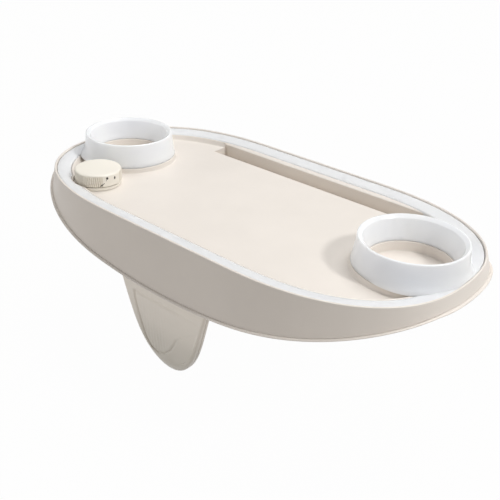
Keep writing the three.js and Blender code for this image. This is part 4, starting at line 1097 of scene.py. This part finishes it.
# Tongue: a leaning plate of two shells with a seam between; the rear one has the pad and the screwed flange
tongue = dict(halfWidth=58.0, length=93.2, taper=0.5, tipPower=6, top=-59.6, rise=8.0, front=-124.3, lean=8.0,
              bow=1.5, thickness=8.7, frontDepth=4.2, gap=0.5, chamfer=0.45, steps=200, sideRound=(2.8, 2.4),
              tipRound=(9.0, 3.7), rearRound=1.6, padFace=-108.0, padInset=14.2, padDrop=14.0, padEdge=0.8,
              rooted=1.2, flangeHalf=46.0, flangeEnd=-60.8, flangeLow=-67.1, flangeHigh=-40.0, holeLow=-100.0,
              headHole=3.6, headDepth=2.5, shankHole=1.9, frontColumns=110, backColumns=24)
# moulded relief on its face, in millimetres across and down from the top; pairs are a start and a run
relief = dict(groove=1.5, grooveWidth=1.1, faint=0.5, fadeBelow=20.5, fadeTop=(18, 14), fadeLow=(8, 22), step=0.6,
              stepAcross=(-2, 14), stepTip=(86, -10), stepTop=(20, 10), stepIn=(0, -2.2), flute=0.2, flutePitch=4.2,
              fluteIn=(2, 4), fluteAcross=(10, -14), margin=5)
panelEdge = [(-38.5, 14.5), (-38.3, 21), (-36.9, 30), (-34.7, 39), (-31.3, 52), (-27, 66), (-20.7, 75),
             (-11.5, 77.5), (-3, 75), (6.2, 66.5), (13.3, 55.5), (18, 48), (26.6, 40.4), (38.7, 32), (50, 24),
             (62, 17), (62, 14.5)]
screwHoles = ((3.0, -1.8, 5.0), (1.6, -12.0, 0.0))  # radius, start and end from the outer end of each screw


def downShare(z):
    return (tongue["top"] - z) / tongue["length"]


def leanY(z, depth):
    # the flat planes of the two shells, set back from the front
    return tongue["front"] + tongue["lean"] * downShare(z) + depth


def faceY(z):
    # the face itself swells a little between its top and its tip
    share = np.clip(downShare(z), 0, 1)
    return leanY(z, 0) - tongue["bow"] * 2.6 * (share - share ** 3)


def tongueHalf(share, inset=0.0):
    taper = 1 - tongue["taper"] * share
    return (tongue["halfWidth"] - inset) * taper * np.sqrt(1 - share ** tongue["tipPower"])


def loopShares():
    half = np.sin(np.linspace(0, math.pi / 2, tongue["steps"] // 2 + 1))
    return np.concatenate([half, half[-2::-1]])


def withEnds(values, first, last):
    return np.concatenate([[first], values, [last]])


def tongueLoop(inset):
    # down the left side, round the tip and up the right, closed by a straight top above the belly
    share = loopShares()
    side = np.sign(np.arange(len(share)) - len(share) // 2)
    x = side * tongueHalf(share, inset)
    z = tongue["top"] - (tongue["length"] - inset) * share
    high = tongue["top"] + tongue["rise"]
    return withEnds(x, x[0], x[-1]), withEnds(z, high, high)


def tongueLayer(inset, level):
    x, z = tongueLoop(inset)
    return np.stack([x, level(z), z], 1)


def seamLayers(depth, inner):
    # a small chamfer along the seam
    chamfer = tongue["chamfer"]
    return [tongueLayer(chamfer, lambda z: leanY(z, depth)),
            tongueLayer(0.0, lambda z: leanY(z, depth + inner * chamfer))]


def tongueSkin(name, layers, columns, level):
    # layers are loops from the seam to the face; the last one is filled with a fine grid
    count = len(layers[0])
    points = [p for layer in layers for p in layer]
    faces = [tuple(range(count))]
    last = (len(layers) - 1) * count
    for low in range(0, last, count):
        high = low + count
        for k in range(count - 1):
            faces.append((low + k, low + k + 1, high + k + 1, high + k))
        if high < last:
            faces.append((low + count - 1, low, high, high + count - 1))
    across = np.linspace(0, 1, columns + 1)[1:-1, None]
    grid = []
    for k in range(count // 2 + 1):
        left, right = points[last + k], points[last + count - 1 - k]
        spots = left + (right - left) * across
        spots[:, 1] = level(spots[:, 0], spots[:, 2])
        grid.append([last + k, *range(len(points), len(points) + columns - 1), last + count - 1 - k])
        points.extend(spots)
    # the straight top edge of the grid closes the last band in one face
    faces.append((last - 1, last - count, *grid[0]))
    for upper, lower in zip(grid, grid[1:]):
        for column in range(columns):
            faces.append((upper[column], upper[column + 1], lower[column + 1], lower[column]))
    return solid(name, points, faces)


def belowBelly():
    return bellySlab(-belly["gap"], -200.0)


def panelDistance(x, down):
    # how far each spot lies inside the panel's edge, negative outside
    start = np.array(panelEdge, float)[:, None]
    end = np.roll(start, -1, axis=0)
    spot = np.stack([x, down], 1)[None]
    run = end - start
    share = np.clip(((spot - start) * run).sum(2) / (run ** 2).sum(2), 0, 1)
    nearest = np.linalg.norm(spot - start - run * share[..., None], axis=2).min(0)
    spans = (start[..., 1] > down) != (end[..., 1] > down)
    rise = np.where(run[..., 1] == 0, 1.0, run[..., 1])
    crossing = spans & (x < start[..., 0] + run[..., 0] * (down - start[..., 1]) / rise)
    return np.where(crossing.sum(0) % 2 == 1, nearest, -nearest)


def faceRelief(x, z):
    # a groove round the panel, fading to the right, a step across the right half and fine flutes inside
    down = tongue["top"] - z
    within = panelDistance(x, down)
    fading = np.where(down < relief["fadeBelow"], ease(x, *relief["fadeTop"]), ease(x, *relief["fadeLow"]))
    strength = relief["groove"] + (relief["faint"] - relief["groove"]) * fading
    lowered = strength * np.exp(-(within / relief["grooveWidth"]) ** 2)
    rightPart = ease(x, *relief["stepAcross"]) * ease(down, *relief["stepTip"])
    lowered += relief["step"] * ease(within, *relief["stepIn"]) * rightPart * ease(down, *relief["stepTop"])
    fluted = ease(within, *relief["fluteIn"]) * ease(x, *relief["fluteAcross"])
    lowered += relief["flute"] * fluted * (0.5 + 0.5 * np.cos(2 * math.pi * x / relief["flutePitch"]))
    half = tongueHalf(np.clip(downShare(z), 0, 1))
    return lowered * ease(half - np.abs(x), 0, relief["margin"])


def makeTongueFront():
    share = loopShares() ** 3
    inRound, deepRound = (low + (high - low) * share for low, high in zip(tongue["sideRound"], tongue["tipRound"]))
    deepRound = withEnds(deepRound, deepRound[0], deepRound[-1])
    layers = seamLayers(tongue["frontDepth"], -1)
    for turn in quarterTurn(9):
        inset = inRound * (1 - math.cos(turn))
        layers.append(tongueLayer(inset, lambda z: faceY(z) + deepRound * (1 - math.sin(turn))))
    front = tongueSkin("tongueFront", layers, tongue["frontColumns"], lambda x, z: faceY(z) + faceRelief(x, z))
    carve(front, [belowBelly()], "INTERSECT")
    return dress(smooth(front), finishes["tongue"], "beige_shell", "tray", "tongue_front")


def padBlank():
    # a wedge on the leaning rear shell whose face stands upright
    x, z = tongueLoop(tongue["padInset"])
    keep = z <= tongue["top"] - tongue["padDrop"]
    x, z = x[keep], z[keep]
    edge, face = tongue["padEdge"], tongue["padFace"]
    middle = (z.max() + z.min()) / 2
    shrink = 1 - edge / 36
    rings = [np.stack([x, leanY(z, tongue["thickness"] - tongue["rooted"]), z], 1)]
    for y, size in ((face - edge, 1.0), (face - edge * 0.3, (1 + shrink) / 2), (face, shrink)):
        rings.append(np.stack([x * size, np.full_like(x, y), middle + (z - middle) * size], 1))
    return solid("pad", np.concatenate(rings), capped(len(x), len(rings)))


def makeTongueBack():
    r, rear, low, end = (tongue[k] for k in ("rearRound", "thickness", "flangeLow", "flangeEnd"))
    layers = seamLayers(tongue["frontDepth"] + tongue["gap"], 1)
    for turn in quarterTurn(7):
        inset, depth = r * (1 - math.cos(turn)), rear - r * (1 - math.sin(turn))
        layers.append(tongueLayer(inset, lambda z: leanY(z, depth)))
    back = tongueSkin("tongueBack", layers, tongue["backColumns"], lambda x, z: leanY(z, rear))
    start = leanY(tongue["top"], rear) - tongue["rooted"]
    outline = [(x, y + (start + end) / 2) for x, y in roundedBox(tongue["flangeHalf"], (end - start) / 2, 1.0)]
    flange = prism("flange", outline, "Z", low, tongue["flangeHigh"])
    carve(back, [padBlank(), flange], "UNION")
    carve(back, [belowBelly()], "INTERSECT")
    cutters = []
    for spot in bracketSpots:
        cutters.append(post(spot, tongue["headHole"], tongue["holeLow"], low + tongue["headDepth"]))
        cutters.append(post(spot, tongue["shankHole"], tongue["holeLow"], tongue["flangeHigh"], 20))
    for name in screwNodes("tongue"):
        middle, _, high = nodeCentre(name)
        for radius, fromY, toY in screwHoles:
            outline = oval(middle[0], middle[2], radius, radius, 40)
            cutters.append(prism("screwHole", outline, "Y", high[1] + fromY, high[1] + toY))
    carve(back, cutters)
    return dress(smooth(back), finishes["tongue"], "beige_shell", "tray", "tongue_back")


makeTongueFront()
makeTongueBack()


# Pieces inside keep their solids and get finishes of their own, by the start of their names
innerFinish = dict(led_strip="lamps", led_driver_board="board", switch_housing="dark", switch_gasket="rubber",
                   switch_nut="steel", switch_shaft="steel", battery_box="dark", door_gasket="rubber",
                   battery_lead="lead", switch_lead="lead", strip_lead="lead", battery_cell="cell",
                   battery_contact="steel")
for name, node in cadNodes.items():
    if node.hide_render:
        continue
    finish = next(finish for start, finish in innerFinish.items() if name.startswith(start))
    for place in node.material_slots:
        place.material = finishes[finish]
print("inner pieces finished")
